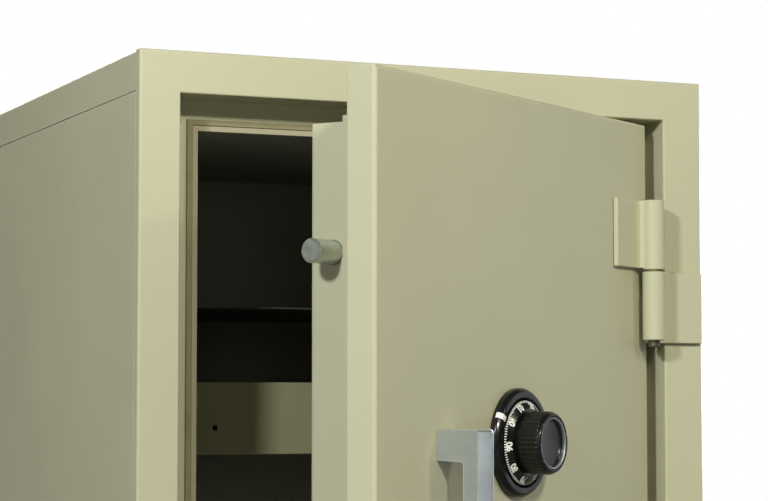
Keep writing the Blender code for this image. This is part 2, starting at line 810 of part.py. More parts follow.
def plug_insulation(door):
    low = PLUG_BOTTOM + PLUG_SHEET + GAP
    high = PLUG_TOP - PLUG_SHEET - GAP
    right = PLUG_RIGHT_X - PLUG_SHEET - GAP
    inner = PLUG_SHEET + GAP
    front_part = box(
        (PLUG_LEFT + inner, right),
        (PLUG_START, FRONT + PLUG_STEP_DEPTH - inner),
        (low, high),
    )
    back_part = box(
        (BOLT_WALL_X + inner, right),
        (PLUG_START + inner, FRONT + MECHANISM_PLATE - GAP),
        (low, high),
    )
    piece("plug_insulation", cut(join(front_part, back_part), *tube_holes()), FILL, door)


def mechanism_plate(door):
    inner = PLUG_SHEET + 2 * GAP
    plate = box(
        (BOLT_WALL_X + inner, PLUG_RIGHT_X - inner),
        (FRONT + MECHANISM_PLATE, FRONT + MECHANISM_PLATE + MECHANISM_SHEET),
        (PLUG_BOTTOM + inner, PLUG_TOP - inner),
    )
    piece("mechanism_plate", cut(plate, *tube_holes()), ZINC, door)


def plug_cover(door):
    """Removable inner cover."""
    plate = box((BOLT_WALL_X, PLUG_RIGHT_X), (COVER_FRONT, FRONT + PLUG_BACK), (PLUG_BOTTOM, PLUG_TOP))
    plate = bevelled(plate, SHEET_ROUND)
    holes = [screw_hole(x, z, COVER_FRONT) for x, z in cover_screw_spots()]
    piece("plug_cover", cut(plate, *holes), PAINTED, door)


def cover_screws(door):
    """Round-headed screws through the cover into the flange."""
    for number, (x, z) in enumerate(cover_screw_spots(), 1):
        head = FRONT + PLUG_BACK + GAP
        profile = [
            (0, -SCREW_REACH),
            (SCREW_RADIUS, -SCREW_REACH),
            (SCREW_RADIUS, 0),
            (SCREW_HEAD_RADIUS, 0),
            (SCREW_HEAD_RADIUS, SCREW_HEAD * 0.25),
            (SCREW_HEAD_RADIUS * 0.62, SCREW_HEAD * 0.9),
            (0, SCREW_HEAD),
        ]
        piece("cover_screw_%d" % number, turned(profile, (x, head, z), "Y", SMALL), PLATED, door)


def bolt_guide(which, height, door):
    """Block with the bore that guides a bolt."""
    half = GUIDE_SIZE / 2
    left = BOLT_WALL_X + PLUG_SHEET + GAP
    front = FRONT + MECHANISM_PLATE + MECHANISM_SHEET + GAP
    block = box((left, left + GUIDE_LENGTH), (front, FRONT + GUIDE_BACK), (height - half, height + half))
    block = bevelled(block, GUIDE_ROUND)
    bore = rod((left, BOLT_Y, height), "X", -GUIDE_LENGTH, 2 * GUIDE_LENGTH, BOLT_RADIUS + RUNNING_GAP)
    piece("bolt_guide_" + which, cut(block, bore), ZINC, door)


def bolt(which, height, door):
    """Round locking bolt. Its rear end is slotted to straddle the carriage."""
    tip = LEFT + BOLT_TIP_LEFT
    rear = LEFT + CARRIAGE_LEFT + BOLT_FORK_REACH
    shaft = rod((0, BOLT_Y, height), "X", tip, rear, BOLT_RADIUS, MEDIUM, BOLT_CHAMFER)
    slot = box(
        (LEFT + CARRIAGE_LEFT - GAP, rear + BOLT_RADIUS),
        (BOLT_Y - BOLT_FORK / 2, BOLT_Y + BOLT_FORK / 2),
        (height - 2 * BOLT_RADIUS, height + 2 * BOLT_RADIUS),
    )
    piece("bolt_" + which, cut(shaft, slot), STEEL, door, (tip, BOLT_Y, height))


def bolt_carriage(door):
    """Bar that carries both bolts, with the cam pin and an arm notched for the lock bolt."""
    front = BOLT_Y - CARRIAGE_SHEET / 2
    back = BOLT_Y + CARRIAGE_SHEET / 2
    left = LEFT + CARRIAGE_LEFT
    right = left + CARRIAGE_WIDTH
    spare = BOLT_RADIUS + CARRIAGE_OVERRUN
    arm_foot = LOCK_TOP + ARM_GAP
    arm_top = arm_foot + CARRIAGE_WIDTH
    notch = LOCK_BOLT_NOSE / 2 + NOTCH_PLAY
    arm_end = DIAL_X + BOLT_THROW + notch + CARRIAGE_SHEET
    notch_top = arm_foot + LOCK_BOLT_TRAVEL
    outline = [
        (left, BOLT_HEIGHTS["lower"] - spare),
        (right, BOLT_HEIGHTS["lower"] - spare),
        (right, arm_foot),
    ]
    for centre in (DIAL_X, DIAL_X + BOLT_THROW):
        outline += [
            (centre - notch, arm_foot),
            (centre - notch, notch_top),
            (centre + notch, notch_top),
            (centre + notch, arm_foot),
        ]
    outline += [
        (arm_end, arm_foot),
        (arm_end, arm_top),
        (right, arm_top),
        (right, BOLT_HEIGHTS["upper"] + spare),
        (left, BOLT_HEIGHTS["upper"] + spare),
    ]
    bar = prism(outline, "Y", front, back)
    pin = rod(
        (HANDLE_X + CAM_PIN_REACH, FRONT, CONTROL_Z),
        "Y", CAM_FRONT - CAM_PIN_PEEP, BOLT_DEPTH, CAM_PIN_RADIUS, SMALL,
    )
    piece("bolt_carriage", join(bar, pin), ZINC, door, (left, BOLT_Y, CONTROL_Z))


# ---- handle pieces ----
def handle_axis():
    return (HANDLE_X, FRONT, CONTROL_Z)


def handle(door):
    """Lever: a square neck and a flat grip that hangs down."""
    half = HANDLE_SECTION / 2
    neck = box(
        (HANDLE_X - half, HANDLE_X + half),
        (FRONT - HANDLE_STAND_OFF - HANDLE_THICK / 2, FRONT - GAP),
        (CONTROL_Z - half, CONTROL_Z + half),
    )
    neck = bevelled(neck, HANDLE_ROUND, 2)
    grip = box(
        (HANDLE_X - half, HANDLE_X + half),
        (FRONT - HANDLE_STAND_OFF - HANDLE_THICK, FRONT - HANDLE_STAND_OFF),
        (CONTROL_Z - HANDLE_GRIP, CONTROL_Z + half),
    )
    grip = bevelled(grip, HANDLE_ROUND, 3)
    socket = rod(handle_axis(), "Y", -SPINDLE_SEAT - GAP, SPINDLE_SEAT, SPINDLE_RADIUS + GAP, COARSE)
    piece("handle", cut(join(grip, neck), socket), CHROME, door, handle_axis())


def handle_spindle(door):
    """Round spindle with a square end for the cam."""
    shaft = rod(handle_axis(), "Y", -SPINDLE_SEAT, CAM_FRONT - SHOULDER, SPINDLE_RADIUS, COARSE)
    half = CAM_SQUARE / 2
    square = box(
        (HANDLE_X - half, HANDLE_X + half),
        (FRONT + CAM_FRONT - CAM_SHEET, FRONT + CAM_FRONT + CAM_SHEET + SHOULDER),
        (CONTROL_Z - half, CONTROL_Z + half),
    )
    piece("handle_spindle", join(shaft, square), STEEL, door, handle_axis())


def spiral(angle, offset=0.0):
    """A point of the cam's spiral, moved outward by an offset. The angle is in degrees."""
    turn = math.radians(angle)
    reach = CAM_PIN_REACH - CAM_RISE * turn + offset
    return (HANDLE_X + reach * math.cos(turn), CONTROL_Z + reach * math.sin(turn))


def handle_cam(door):
    """Cam whose spiral slot draws the carriage evenly as the handle turns."""
    wall = CAM_PIN_RADIUS + CAM_SLOT_PLAY + CAM_WALL
    outline = [spiral(angle, wall) for angle in range(-14, 120, 8)]
    outline += arc((HANDLE_X, CONTROL_Z), CAM_HUB, 130, 330, 8)
    plate = prism(outline, "Y", FRONT + CAM_FRONT, FRONT + CAM_FRONT + CAM_SHEET)
    half = CAM_PIN_RADIUS + CAM_SLOT_PLAY
    slot = prism(slot_outline(half), "Y", FRONT + CAM_FRONT - CAM_SHEET, FRONT + CAM_FRONT + 2 * CAM_SHEET)
    side = CAM_SQUARE / 2 + GAP
    square = box(
        (HANDLE_X - side, HANDLE_X + side),
        (FRONT + CAM_FRONT - CAM_SHEET, FRONT + CAM_FRONT + 2 * CAM_SHEET),
        (CONTROL_Z - side, CONTROL_Z + side),
    )
    piece("handle_cam", cut(plate, slot, square), ZINC, door, handle_axis())


def slot_outline(half):
    """Both sides of the slot, square to its centre line, with a round at each end."""
    steps = 10
    outer = []
    inner = []
    for i in range(steps + 1):
        angle = 90 * i / steps
        here = Vector(spiral(angle))
        ahead = (Vector(spiral(angle + 0.5)) - Vector(spiral(angle - 0.5))).normalized()
        side = Vector((ahead.y, -ahead.x)) * half
        outer.append(tuple(here + side))
        inner.append(tuple(here - side))
    return outer + slot_end(90, half, outer[-1]) + inner[::-1] + slot_end(0, half, inner[0])


def slot_end(angle, half, start):
    centre = Vector(spiral(angle))
    first = Vector(start) - centre
    heading = math.degrees(math.atan2(first.y, first.x))
    return arc(tuple(centre), half, heading, heading + 180, 4)[1:-1]


def spindle_tube(name, x, end, outer, inner, door):
    """Lining tube of a spindle hole through the fill."""
    start = DOOR_SHEET + GAP
    piece(name, tube((x, FRONT, CONTROL_Z), "Y", start, end, outer, inner, COARSE), ZINC, door)


# ---- combination lock pieces ----
def dial_axis():
    return (DIAL_X, FRONT, CONTROL_Z)


def dial_ring(door):
    """Fixed ring round the dial."""
    high = -DIAL_RING_HEIGHT
    profile = [
        (DIAL_RING_BORE, -GAP),
        (DIAL_RING_RADIUS, -GAP),
        (DIAL_RING_RADIUS, high + DIAL_RING_SLOPE),
        (DIAL_RING_RADIUS - DIAL_RING_SLOPE, high),
        (DIAL_RING_BORE + DIAL_RING_SLOPE / 2, high),
        (DIAL_RING_BORE, high + DIAL_RING_SLOPE / 2),
    ]
    piece("dial_ring", turned(profile, dial_axis(), "Y", FINE, closed=True), BLACK, door)


def dial(door):
    """Graduated disc with a sloping rim."""
    bore = DIAL_SPINDLE_RADIUS + GAP
    profile = [
        (bore, -DIAL_BACK),
        (DIAL_RADIUS, -DIAL_BACK),
        (DIAL_RADIUS, -DIAL_SHOULDER),
        (DIAL_FACE_RADIUS, -DIAL_FACE),
        (bore, -DIAL_FACE),
    ]
    piece("dial", turned(profile, dial_axis(), "Y", FINE, closed=True), BLACK, door, dial_axis())


def dial_knob(door):
    """Grip of the dial, with a dished front."""
    start = -DIAL_FACE - GAP
    lip = KNOB_RADIUS - KNOB_EDGE - KNOB_LIP
    profile = [
        (0, start - KNOB_SOCKET),
        (DIAL_SPINDLE_RADIUS + GAP, start - KNOB_SOCKET),
        (DIAL_SPINDLE_RADIUS + GAP, start),
        (KNOB_RADIUS, start),
        (KNOB_RADIUS, -KNOB_FRONT + KNOB_EDGE),
        (KNOB_RADIUS - KNOB_EDGE, -KNOB_FRONT),
        (lip, -KNOB_FRONT),
        (lip - KNOB_EDGE, -KNOB_FRONT + KNOB_DISH),
        (0, -KNOB_FRONT + KNOB_DISH),
    ]
    piece("dial_knob", turned(profile, dial_axis(), "Y", FINE - 8), BLACK, door, dial_axis())


def dial_spindle(door):
    rear = DRIVE_FRONT + DRIVE_SHEET + GAP
    shaft = rod(dial_axis(), "Y", -DIAL_FACE - KNOB_SOCKET + 2 * GAP, rear, DIAL_SPINDLE_RADIUS, COARSE)
    piece("dial_spindle", shaft, STEEL, door, dial_axis())


def gated_wheel(low, high, radius, bore):
    """Ring with one gate cut in its rim."""
    ring = tube(dial_axis(), "Y", low, high, radius, bore, MEDIUM)
    gate = box(
        (DIAL_X - GATE / 2, DIAL_X + GATE / 2),
        (FRONT + low - GATE, FRONT + high + GATE),
        (CONTROL_Z + radius - GATE, CONTROL_Z + radius + GATE),
    )
    return cut(ring, gate)


def lock_wheels(door):
    for number in range(3):
        low = FIRST_WHEEL + number * WHEEL_PITCH
        wheel = gated_wheel(low, low + WHEEL_SHEET, WHEEL_RADIUS, WHEEL_POST_RADIUS + GAP)
        piece("lock_wheel_%d" % (number + 1), wheel, BRASS, door, dial_axis())


def drive_wheel(door):
    wheel = gated_wheel(DRIVE_FRONT, DRIVE_FRONT + DRIVE_SHEET, WHEEL_RADIUS * 0.9, DIAL_SPINDLE_RADIUS + GAP)
    piece("drive_wheel", wheel, BRASS, door, dial_axis())


def lock_case(door):
    """Cast case, open to the back, with the post that the wheels turn on and the mouth for the lock bolt."""
    half = LOCK_WIDTH / 2
    rect = (DIAL_X - half, DIAL_X + half, LOCK_FOOT, LOCK_TOP)
    rim = FRONT + LOCK_BACK - GAP
    floor = FRONT + LOCK_FRONT
    sections = [
        grown(rect, -LOCK_WALL, floor + LOCK_WALL),
        grown(rect, -LOCK_WALL, rim),
        grown(rect, 0, rim),
        grown(rect, 0, floor),
    ]
    post_start = LOCK_FRONT + LOCK_WALL / 2
    post_end = DRIVE_FRONT - LOCK_WALL / 2
    post = rod(dial_axis(), "Y", post_start, post_end, WHEEL_POST_RADIUS, COARSE)
    bore = through(DIAL_X, DIAL_SPINDLE_RADIUS + GAP * 2, CONTROL_Z, LOCK_FRONT - LOCK_DEPTH, LOCK_BACK)
    play = RUNNING_GAP
    mouth = box(
        (DIAL_X - LOCK_BOLT_NOSE / 2 - play, DIAL_X + LOCK_BOLT_NOSE / 2 + play),
        (FRONT + LOCK_BOLT_FRONT - play, FRONT + LOCK_BOLT_FRONT + LOCK_BOLT_SHEET + play),
        (LOCK_TOP - 2 * LOCK_WALL, LOCK_TOP + LOCK_WALL),
    )
    piece("lock_case", cut(join(nested(sections, capped=True), post), bore, mouth), ZINC, door)


def lock_cover(door):
    half = LOCK_WIDTH / 2
    plate = box(
        (DIAL_X - half, DIAL_X + half),
        (FRONT + LOCK_BACK, FRONT + LOCK_BACK + LOCK_COVER),
        (LOCK_FOOT, LOCK_TOP),
    )
    piece("lock_cover", bevelled(plate, SHEET_ROUND), BRASS, door)


def lock_bolt(door):
    """Bolt of the combination lock, drawn in. Its nose rises into a notch of the carriage arm."""
    shoulder = LOCK_TOP - LOCK_WALL - LOCK_BOLT_TRAVEL - LOCK_BOLT_PEEP
    head = shoulder - LOCK_BOLT_HEAD
    nose = LOCK_TOP + LOCK_BOLT_PEEP
    wide = LOCK_BOLT_BODY / 2
    slim = LOCK_BOLT_NOSE / 2
    outline = [
        (DIAL_X - slim, nose),
        (DIAL_X + slim, nose),
        (DIAL_X + slim, shoulder),
        (DIAL_X + wide, shoulder),
        (DIAL_X + wide, head),
        (DIAL_X - wide, head),
        (DIAL_X - wide, shoulder),
        (DIAL_X - slim, shoulder),
    ]
    low = FRONT + LOCK_BOLT_FRONT
    bar = prism(outline, "Y", low, low + LOCK_BOLT_SHEET)
    piece("lock_bolt", bar, BRASS, door, (DIAL_X, low + LOCK_BOLT_SHEET / 2, nose))


def build_cabinet():
    front_frame()
    side_wrap()
    top_cap()
    back_panel()
    body_insulation()
    side_insulation()
    inner_liner()
    lip_seal()
    upper_shelf()
    document_tray()
    levels = {"upper": UPPER_SHELF_DROP + TRAY_SHEET, "lower": TRAY_BOTTOM_DROP}
    for level, drop_to in levels.items():
        for side, word in ((-1, "left"), (1, "right")):
            shelf_ledge("shelf_ledge_%s_%s" % (level, word), side, HEIGHT - drop_to - GAP)
    for which, height in BOLT_HEIGHTS.items():
        bolt_socket(which, height)


def build_door(door):
    door_skin(door)
    door_insulation(door)
    door_back_plate(door)
    plug_box(door)
    plug_insulation(door)
    mechanism_plate(door)
    plug_cover(door)
    cover_screws(door)
    for which, height in HINGE_HEIGHTS.items():
        hinge(which, height, door)
    for which, height in BOLT_HEIGHTS.items():
        bolt_guide(which, height, door)
        bolt(which, height, door)
    bolt_carriage(door)


def build_controls(door):
    handle(door)
    handle_spindle(door)
    handle_cam(door)
    handle_end = CAM_FRONT - SHOULDER
    spindle_tube("handle_tube", HANDLE_X, handle_end, HANDLE_TUBE_RADIUS, SPINDLE_RADIUS + GAP, door)
    dial_end = LOCK_FRONT - GAP
    spindle_tube("dial_tube", DIAL_X, dial_end, DIAL_TUBE_RADIUS, DIAL_SPINDLE_RADIUS + GAP, door)
    dial_ring(door)
    dial(door)
    dial_knob(door)
    dial_spindle(door)
    lock_wheels(door)
    drive_wheel(door)
    lock_case(door)
    lock_cover(door)
    lock_bolt(door)


clear_scene()
door_axis = anchor("door_axis", (HINGE_X, HINGE_Y, 0.0), REST_OPEN)
build_cabinet()
build_door(door_axis)
build_controls(door_axis)
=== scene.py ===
"""Looks of a steel fire safe whose door stands ajar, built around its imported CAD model."""

import functools
import json
import math

import bmesh
import bpy
from mathutils import Matrix, Vector


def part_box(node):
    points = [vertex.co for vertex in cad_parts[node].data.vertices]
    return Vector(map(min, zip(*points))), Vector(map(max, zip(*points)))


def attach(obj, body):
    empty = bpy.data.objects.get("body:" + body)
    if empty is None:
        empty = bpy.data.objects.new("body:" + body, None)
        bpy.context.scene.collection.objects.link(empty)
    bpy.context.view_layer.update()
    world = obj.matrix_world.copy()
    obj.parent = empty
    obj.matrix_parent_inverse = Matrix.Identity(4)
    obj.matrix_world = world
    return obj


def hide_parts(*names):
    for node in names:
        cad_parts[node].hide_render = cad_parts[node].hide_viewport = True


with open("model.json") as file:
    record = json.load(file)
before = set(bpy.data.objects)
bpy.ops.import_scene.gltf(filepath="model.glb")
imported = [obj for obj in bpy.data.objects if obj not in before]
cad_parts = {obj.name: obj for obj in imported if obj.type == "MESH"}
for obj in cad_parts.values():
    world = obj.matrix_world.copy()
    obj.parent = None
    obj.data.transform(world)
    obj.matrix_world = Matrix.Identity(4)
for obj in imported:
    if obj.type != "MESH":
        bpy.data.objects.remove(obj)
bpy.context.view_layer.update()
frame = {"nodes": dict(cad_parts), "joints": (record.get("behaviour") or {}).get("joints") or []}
NODES = frame["nodes"]
JOINTS = {joint["name"]: joint for joint in frame["joints"]}
UP = Vector((0.0, 0.0, 1.0))

# ---- colours, as sRGB ----
PAINT_BEIGE = (0.755, 0.752, 0.635)
# The tray's beige, painted darker as shade inside the safe.
TRAY_BEIGE_SHADED = (0.620, 0.610, 0.480)
LINER_GREY = (0.620, 0.625, 0.575)
# Dark grey for the upper shelf: painted shade, where it sits in shadow.
SHELF_GREY_PAINTED_SHADE = (0.330, 0.335, 0.305)
FLANGE_BEIGE = (0.650, 0.625, 0.520)
SEAL_BROWN = (0.590, 0.565, 0.440)
DIAL_BLACK = (0.078, 0.079, 0.074)
MARK_WHITE = (0.970, 0.970, 0.940)
SILVER = (0.760, 0.790, 0.800)
BOLT_STEEL = (0.800, 0.825, 0.780)
# Steel for the hinge pins, painted darker as shade on their lower ends.
PIN_STEEL_SHADED = (0.420, 0.405, 0.340)
ZINC_GREY = (0.600, 0.600, 0.600)
BRASS_GOLD = (0.660, 0.580, 0.400)
FILL_GREY = (0.640, 0.620, 0.570)


def linear(colour):
    """An sRGB colour as linear RGBA."""
    flat = [c / 12.92 if c <= 0.04045 else ((c + 0.055) / 1.055) ** 2.4 for c in colour]
    return (*flat, 1.0)


def shaded(colour, factor):
    """The same colour made lighter or darker."""
    return tuple(min(1.0, c * factor) for c in colour)


# ---- material building ----
class Graph:
    """A Principled material and short ways to wire its nodes."""

    def __init__(self, name, **values):
        self.material = bpy.data.materials.new(name)
        self.material.use_nodes = True
        self.tree = self.material.node_tree
        self.shader = self.tree.nodes["Principled BSDF"]
        for socket, value in values.items():
            self.shader.inputs[socket.replace("_", " ")].default_value = value
        self.place = self.tree.nodes.new("ShaderNodeTexCoord").outputs["Object"]

    def node(self, kind, sockets=None, **settings):
        made = self.tree.nodes.new(kind)
        for key, value in settings.items():
            setattr(made, key, value)
        for key, value in (sockets or {}).items():
            self.put(made.inputs[key], value)
        return made

    def put(self, socket, value):
        if isinstance(value, bpy.types.NodeSocket):
            self.tree.links.new(value, socket)
        else:
            socket.default_value = value

    def set(self, socket, value):
        self.put(self.shader.inputs[socket], value)

    def stretched(self, scale, turn=(0.0, 0.0, 0.0)):
        """Object coordinates, turned and then scaled along each axis."""
        sockets = {"Vector": self.place, "Scale": scale, "Rotation": turn}
        return self.node("ShaderNodeMapping", sockets, vector_type="TEXTURE").outputs["Vector"]

    def noise(self, scale, detail=2.0, rough=0.5, where=None):
        sockets = {"Vector": where or self.place, "Scale": scale, "Detail": detail, "Roughness": rough}
        return self.node("ShaderNodeTexNoise", sockets).outputs["Fac"]

    def spots(self, scale):
        sockets = {"Vector": self.place, "Scale": scale}
        return self.node("ShaderNodeTexVoronoi", sockets).outputs["Distance"]

    def span(self, value, low, high, to_low=0.0, to_high=1.0):
        """A value's stretch from low to high, spread over a new one and held at its ends."""
        sockets = {"Value": value, "From Min": low, "From Max": high, "To Min": to_low, "To Max": to_high}
        return self.node("ShaderNodeMapRange", sockets).outputs["Result"]

    def blend(self, amount, first, second):
        made = self.node("ShaderNodeMix", data_type="RGBA", blend_type="MIX")
        self.put(made.inputs["Factor"], amount)
        self.put(made.inputs["A"], first)
        self.put(made.inputs["B"], second)
        return made.outputs["Result"]

    def sum(self, first, second, how="ADD"):
        made = self.node("ShaderNodeMath", operation=how)
        self.put(made.inputs[0], first)
        self.put(made.inputs[1], second)
        return made.outputs["Value"]

    def edges(self, radius):
        """About 0 on flat faces and 1 along sharp outer and inner edges."""
        soft = self.node("ShaderNodeBevel", {"Radius": radius}, samples=4).outputs["Normal"]
        plain = self.node("ShaderNodeNewGeometry").outputs["Normal"]
        made = self.node("ShaderNodeVectorMath", operation="DOT_PRODUCT")
        self.put(made.inputs[0], soft)
        self.put(made.inputs[1], plain)
        return self.span(made.outputs["Value"], 0.995, 0.80)

    def crevices(self, reach):
        """About 1 in corners and narrow gaps and 0 on open faces."""
        open_sky = self.node("ShaderNodeAmbientOcclusion", {"Distance": reach}, samples=6).outputs["AO"]
        return self.span(open_sky, 0.75, 0.25)

    def bumps(self, *layers):
        """Stacks (height, depth in metres) layers of relief."""
        normal = None
        for height, depth in layers:
            made = self.node("ShaderNodeBump", {"Height": height, "Distance": depth, "Strength": 1.0})
            if normal:
                self.put(made.inputs["Normal"], normal)
            normal = made.outputs["Normal"]
        self.set("Normal", normal)


def enamel(name, colour, shine=0.38, peel=0.00006, shade_and_grime=0.35):
    """Sprayed enamel: soft mottling, orange peel, fine dust, a painted highlight along the edges and painted
    shade with soiling in the joints.
    """
    g = Graph(name, Specular_IOR_Level=0.45)
    # Darker, yellower tone for the painted shade and soiling in the joints.
    shade_and_soil_colour = linear(shaded((colour[0], colour[1] * 0.96, colour[2] * 0.80), 0.45))
    cloud = g.noise(2.6, 3.0)
    tone = g.blend(g.span(cloud, 0.35, 0.65), linear(shaded(colour, 0.985)), linear(shaded(colour, 1.012)))
    fleck = g.span(g.noise(900.0, 1.0), 0.66, 0.74, 0.0, 0.25)
    tone = g.blend(fleck, tone, linear(shaded(colour, 0.93)))
    # Painted highlight: edges lighter, where the rounding would catch the light.
    tone = g.blend(g.sum(g.edges(0.0012), 0.45, "MULTIPLY"), tone, linear(shaded(colour, 1.06)))
    # Painted shade with soiling: ambient occlusion, broken up by noise, darkens corners and joints.
    corner_shade_and_dirt = g.sum(g.crevices(0.006), g.span(g.noise(60.0, 3.0), 0.3, 0.7, 0.25, 1.0), "MULTIPLY")
    tone = g.blend(g.sum(corner_shade_and_dirt, shade_and_grime, "MULTIPLY"), tone, shade_and_soil_colour)
    g.set("Base Color", tone)
    smear = g.noise(9.0, 4.0, 0.6)
    g.set("Roughness", g.span(smear, 0.3, 0.7, shine - 0.04, shine + 0.05))
    g.bumps((g.noise(330.0, 2.0, 0.4), peel), (g.noise(1400.0, 1.0), peel * 0.15))
    return g.material


def liner_enamel(name, colour, edge_colour, flange_end):
    """Grey enamel inside the liner, darker than the outer paint. The flange at its mouth, up to a given
    depth, stays pale.
    """
    g = Graph(name, Specular_IOR_Level=0.4)
    depth = g.node("ShaderNodeSeparateXYZ", {"Vector": g.place}).outputs["Y"]
    cloud = g.noise(3.0, 3.0)
    tone = g.blend(g.span(cloud, 0.35, 0.65), linear(shaded(colour, 0.94)), linear(shaded(colour, 1.05)))
    fleck = g.span(g.noise(700.0, 1.0), 0.64, 0.74, 0.0, 0.35)
    tone = g.blend(fleck, tone, linear(shaded(colour, 1.5)))
    tone = g.blend(g.span(depth, flange_end, flange_end + 0.0003), linear(edge_colour), tone)
    g.set("Base Color", tone)
    g.set("Roughness", g.span(g.noise(14.0, 4.0, 0.6), 0.3, 0.7, 0.5, 0.62))
    g.bumps((g.noise(330.0, 2.0, 0.4), 0.00005))
    return g.material


def turned_steel(name, colour, axis_turn, shine=0.28):
    """Bare steel with fine marks round the axis of the bar, some dull patches and a trace of oil."""
    g = Graph(name, Metallic=0.75)
    rings = g.noise(1.0, 2.0, 0.6, g.stretched((0.00035, 0.02, 0.02), axis_turn))
    patch = g.noise(70.0, 4.0, 0.6)
    tone = g.blend(g.span(rings, 0.3, 0.7), linear(shaded(colour, 0.86)), linear(shaded(colour, 1.06)))
    tone = g.blend(g.span(patch, 0.58, 0.75, 0.0, 0.4), tone, linear(shaded(colour, 0.55)))
    g.set("Base Color", tone)
    g.set("Roughness", g.span(g.sum(rings, patch), 0.6, 1.4, shine - 0.06, shine + 0.12))
    g.bumps((rings, 0.000012))
    return g.material


def cast_silver(name, colour, shine=0.34):
    """Polished and clear-coated casting: faint ripples, edges painted lighter as wear and as a highlight,
    hazy patches.
    """
    g = Graph(name, Metallic=0.80, Specular_IOR_Level=0.6, Coat_Weight=0.25, Coat_Roughness=0.12)
    haze = g.noise(38.0, 4.0, 0.6)
    tone = g.blend(g.span(haze, 0.35, 0.7), linear(colour), linear(shaded(colour, 0.92)))
    # Edges lighter: rubbed wear and a painted highlight.
    tone = g.blend(g.sum(g.edges(0.0016), 0.55, "MULTIPLY"), tone, linear(shaded(colour, 1.22)))
    g.set("Base Color", tone)
    g.set("Roughness", g.span(haze, 0.3, 0.7, shine - 0.05, shine + 0.07))
    g.bumps((g.noise(120.0, 2.0), 0.00005), (g.noise(1700.0, 1.0), 0.000006))
    return g.material


def plated(name, colour, shine=0.42, grain=0.00002):
    """Zinc or brass with cloudy spangle, fine scratches and painted shade in the corners."""
    g = Graph(name, Metallic=1.0)
    spangle = g.spots(190.0)
    haze = g.noise(45.0, 4.0, 0.65)
    tone = g.blend(g.span(spangle, 0.1, 0.8), linear(shaded(colour, 1.05)), linear(shaded(colour, 0.88)))
    tone = g.blend(g.span(haze, 0.5, 0.75, 0.0, 0.45), tone, linear(shaded(colour, 0.66)))
    # Painted shade: ambient occlusion darkens the corners.
    tone = g.blend(g.sum(g.crevices(0.004), 0.5, "MULTIPLY"), tone, linear(shaded(colour, 0.35)))
    g.set("Base Color", tone)
    g.set("Roughness", g.span(haze, 0.3, 0.7, shine - 0.08, shine + 0.12))
    scratch = g.noise(1.0, 2.0, 0.5, g.stretched((0.0006, 0.05, 0.0006), (0.0, 0.3, 0.4)))
    g.bumps((scratch, grain))
    return g.material


def black_enamel(name, colour, shine=0.22):
    """Hard black enamel with dust, hairlines and edges painted lighter as wear and as a highlight."""
    g = Graph(name, Specular_IOR_Level=0.3, Coat_Weight=0.12, Coat_Roughness=0.06)
    dust = g.span(g.noise(260.0, 4.0, 0.7), 0.58, 0.8, 0.0, 0.14)
    tone = g.blend(dust, linear(colour), linear((0.20, 0.20, 0.18)))
    # Edges lighter: a little wear and a painted highlight.
    tone = g.blend(g.sum(g.edges(0.0005), 0.22, "MULTIPLY"), tone, linear((0.42, 0.41, 0.38)))
    g.set("Base Color", tone)
    g.set("Roughness", g.span(g.noise(80.0, 3.0), 0.3, 0.7, shine - 0.04, shine + 0.10))
    g.bumps((g.noise(420.0, 2.0), 0.00002))
    return g.material


def mark_paint(name, colour):
    """White filling of engraved marks, slightly uneven and yellowed."""
    g = Graph(name, Specular_IOR_Level=0.3)
    age = g.noise(420.0, 3.0, 0.6)
    g.set("Base Color", g.blend(g.span(age, 0.45, 0.75), linear(colour), linear(shaded(colour, 0.78))))
    g.set("Roughness", g.span(age, 0.3, 0.7, 0.45, 0.65))
    g.bumps((age, 0.00004))
    return g.material


def felt_strip(name, colour):
    """Heat-swelling seal strip: short fibres, dull, a little dusty."""
    g = Graph(name, Specular_IOR_Level=0.15, Sheen_Weight=0.25, Sheen_Roughness=0.5)
    fibre = g.noise(1500.0, 4.0, 0.7, g.stretched((1.0, 1.0, 0.35)))
    cloud = g.noise(35.0, 3.0)
    tone = g.blend(g.span(fibre, 0.3, 0.7), linear(shaded(colour, 0.80)), linear(shaded(colour, 1.12)))
    tone = g.blend(g.span(cloud, 0.5, 0.8, 0.0, 0.4), tone, linear(shaded(colour, 0.7)))
    g.set("Base Color", tone)
    g.set("Roughness", g.span(cloud, 0.3, 0.7, 0.86, 0.96))
    g.bumps((fibre, 0.0002))
    return g.material


def cast_fill(name, colour):
    """Cast fireproof fill: sandy, with pores painted darker as shade in the holes, and light aggregate."""
    g = Graph(name, Specular_IOR_Level=0.2)
    grain = g.noise(700.0, 5.0, 0.7)
    pores = g.span(g.spots(160.0), 0.0, 0.16, 1.0, 0.0)
    tone = g.blend(g.span(grain, 0.3, 0.7), linear(shaded(colour, 0.86)), linear(shaded(colour, 1.08)))
    # Painted shade: the pores darker, as shade inside the holes.
    tone = g.blend(g.sum(pores, 0.7, "MULTIPLY"), tone, linear(shaded(colour, 0.5)))
    g.set("Base Color", tone)
    g.set("Roughness", g.span(grain, 0.3, 0.7, 0.88, 0.98))
    g.bumps((grain, 0.0004), (g.sum(1.0, pores, "SUBTRACT"), 0.0008))
    return g.material


# ---- meshes ----
SHARP_TURN = 35.0
SMOOTH_TURN = 33.0
FLAT_TURN = 0.6
WELD_REACH = 0.00001


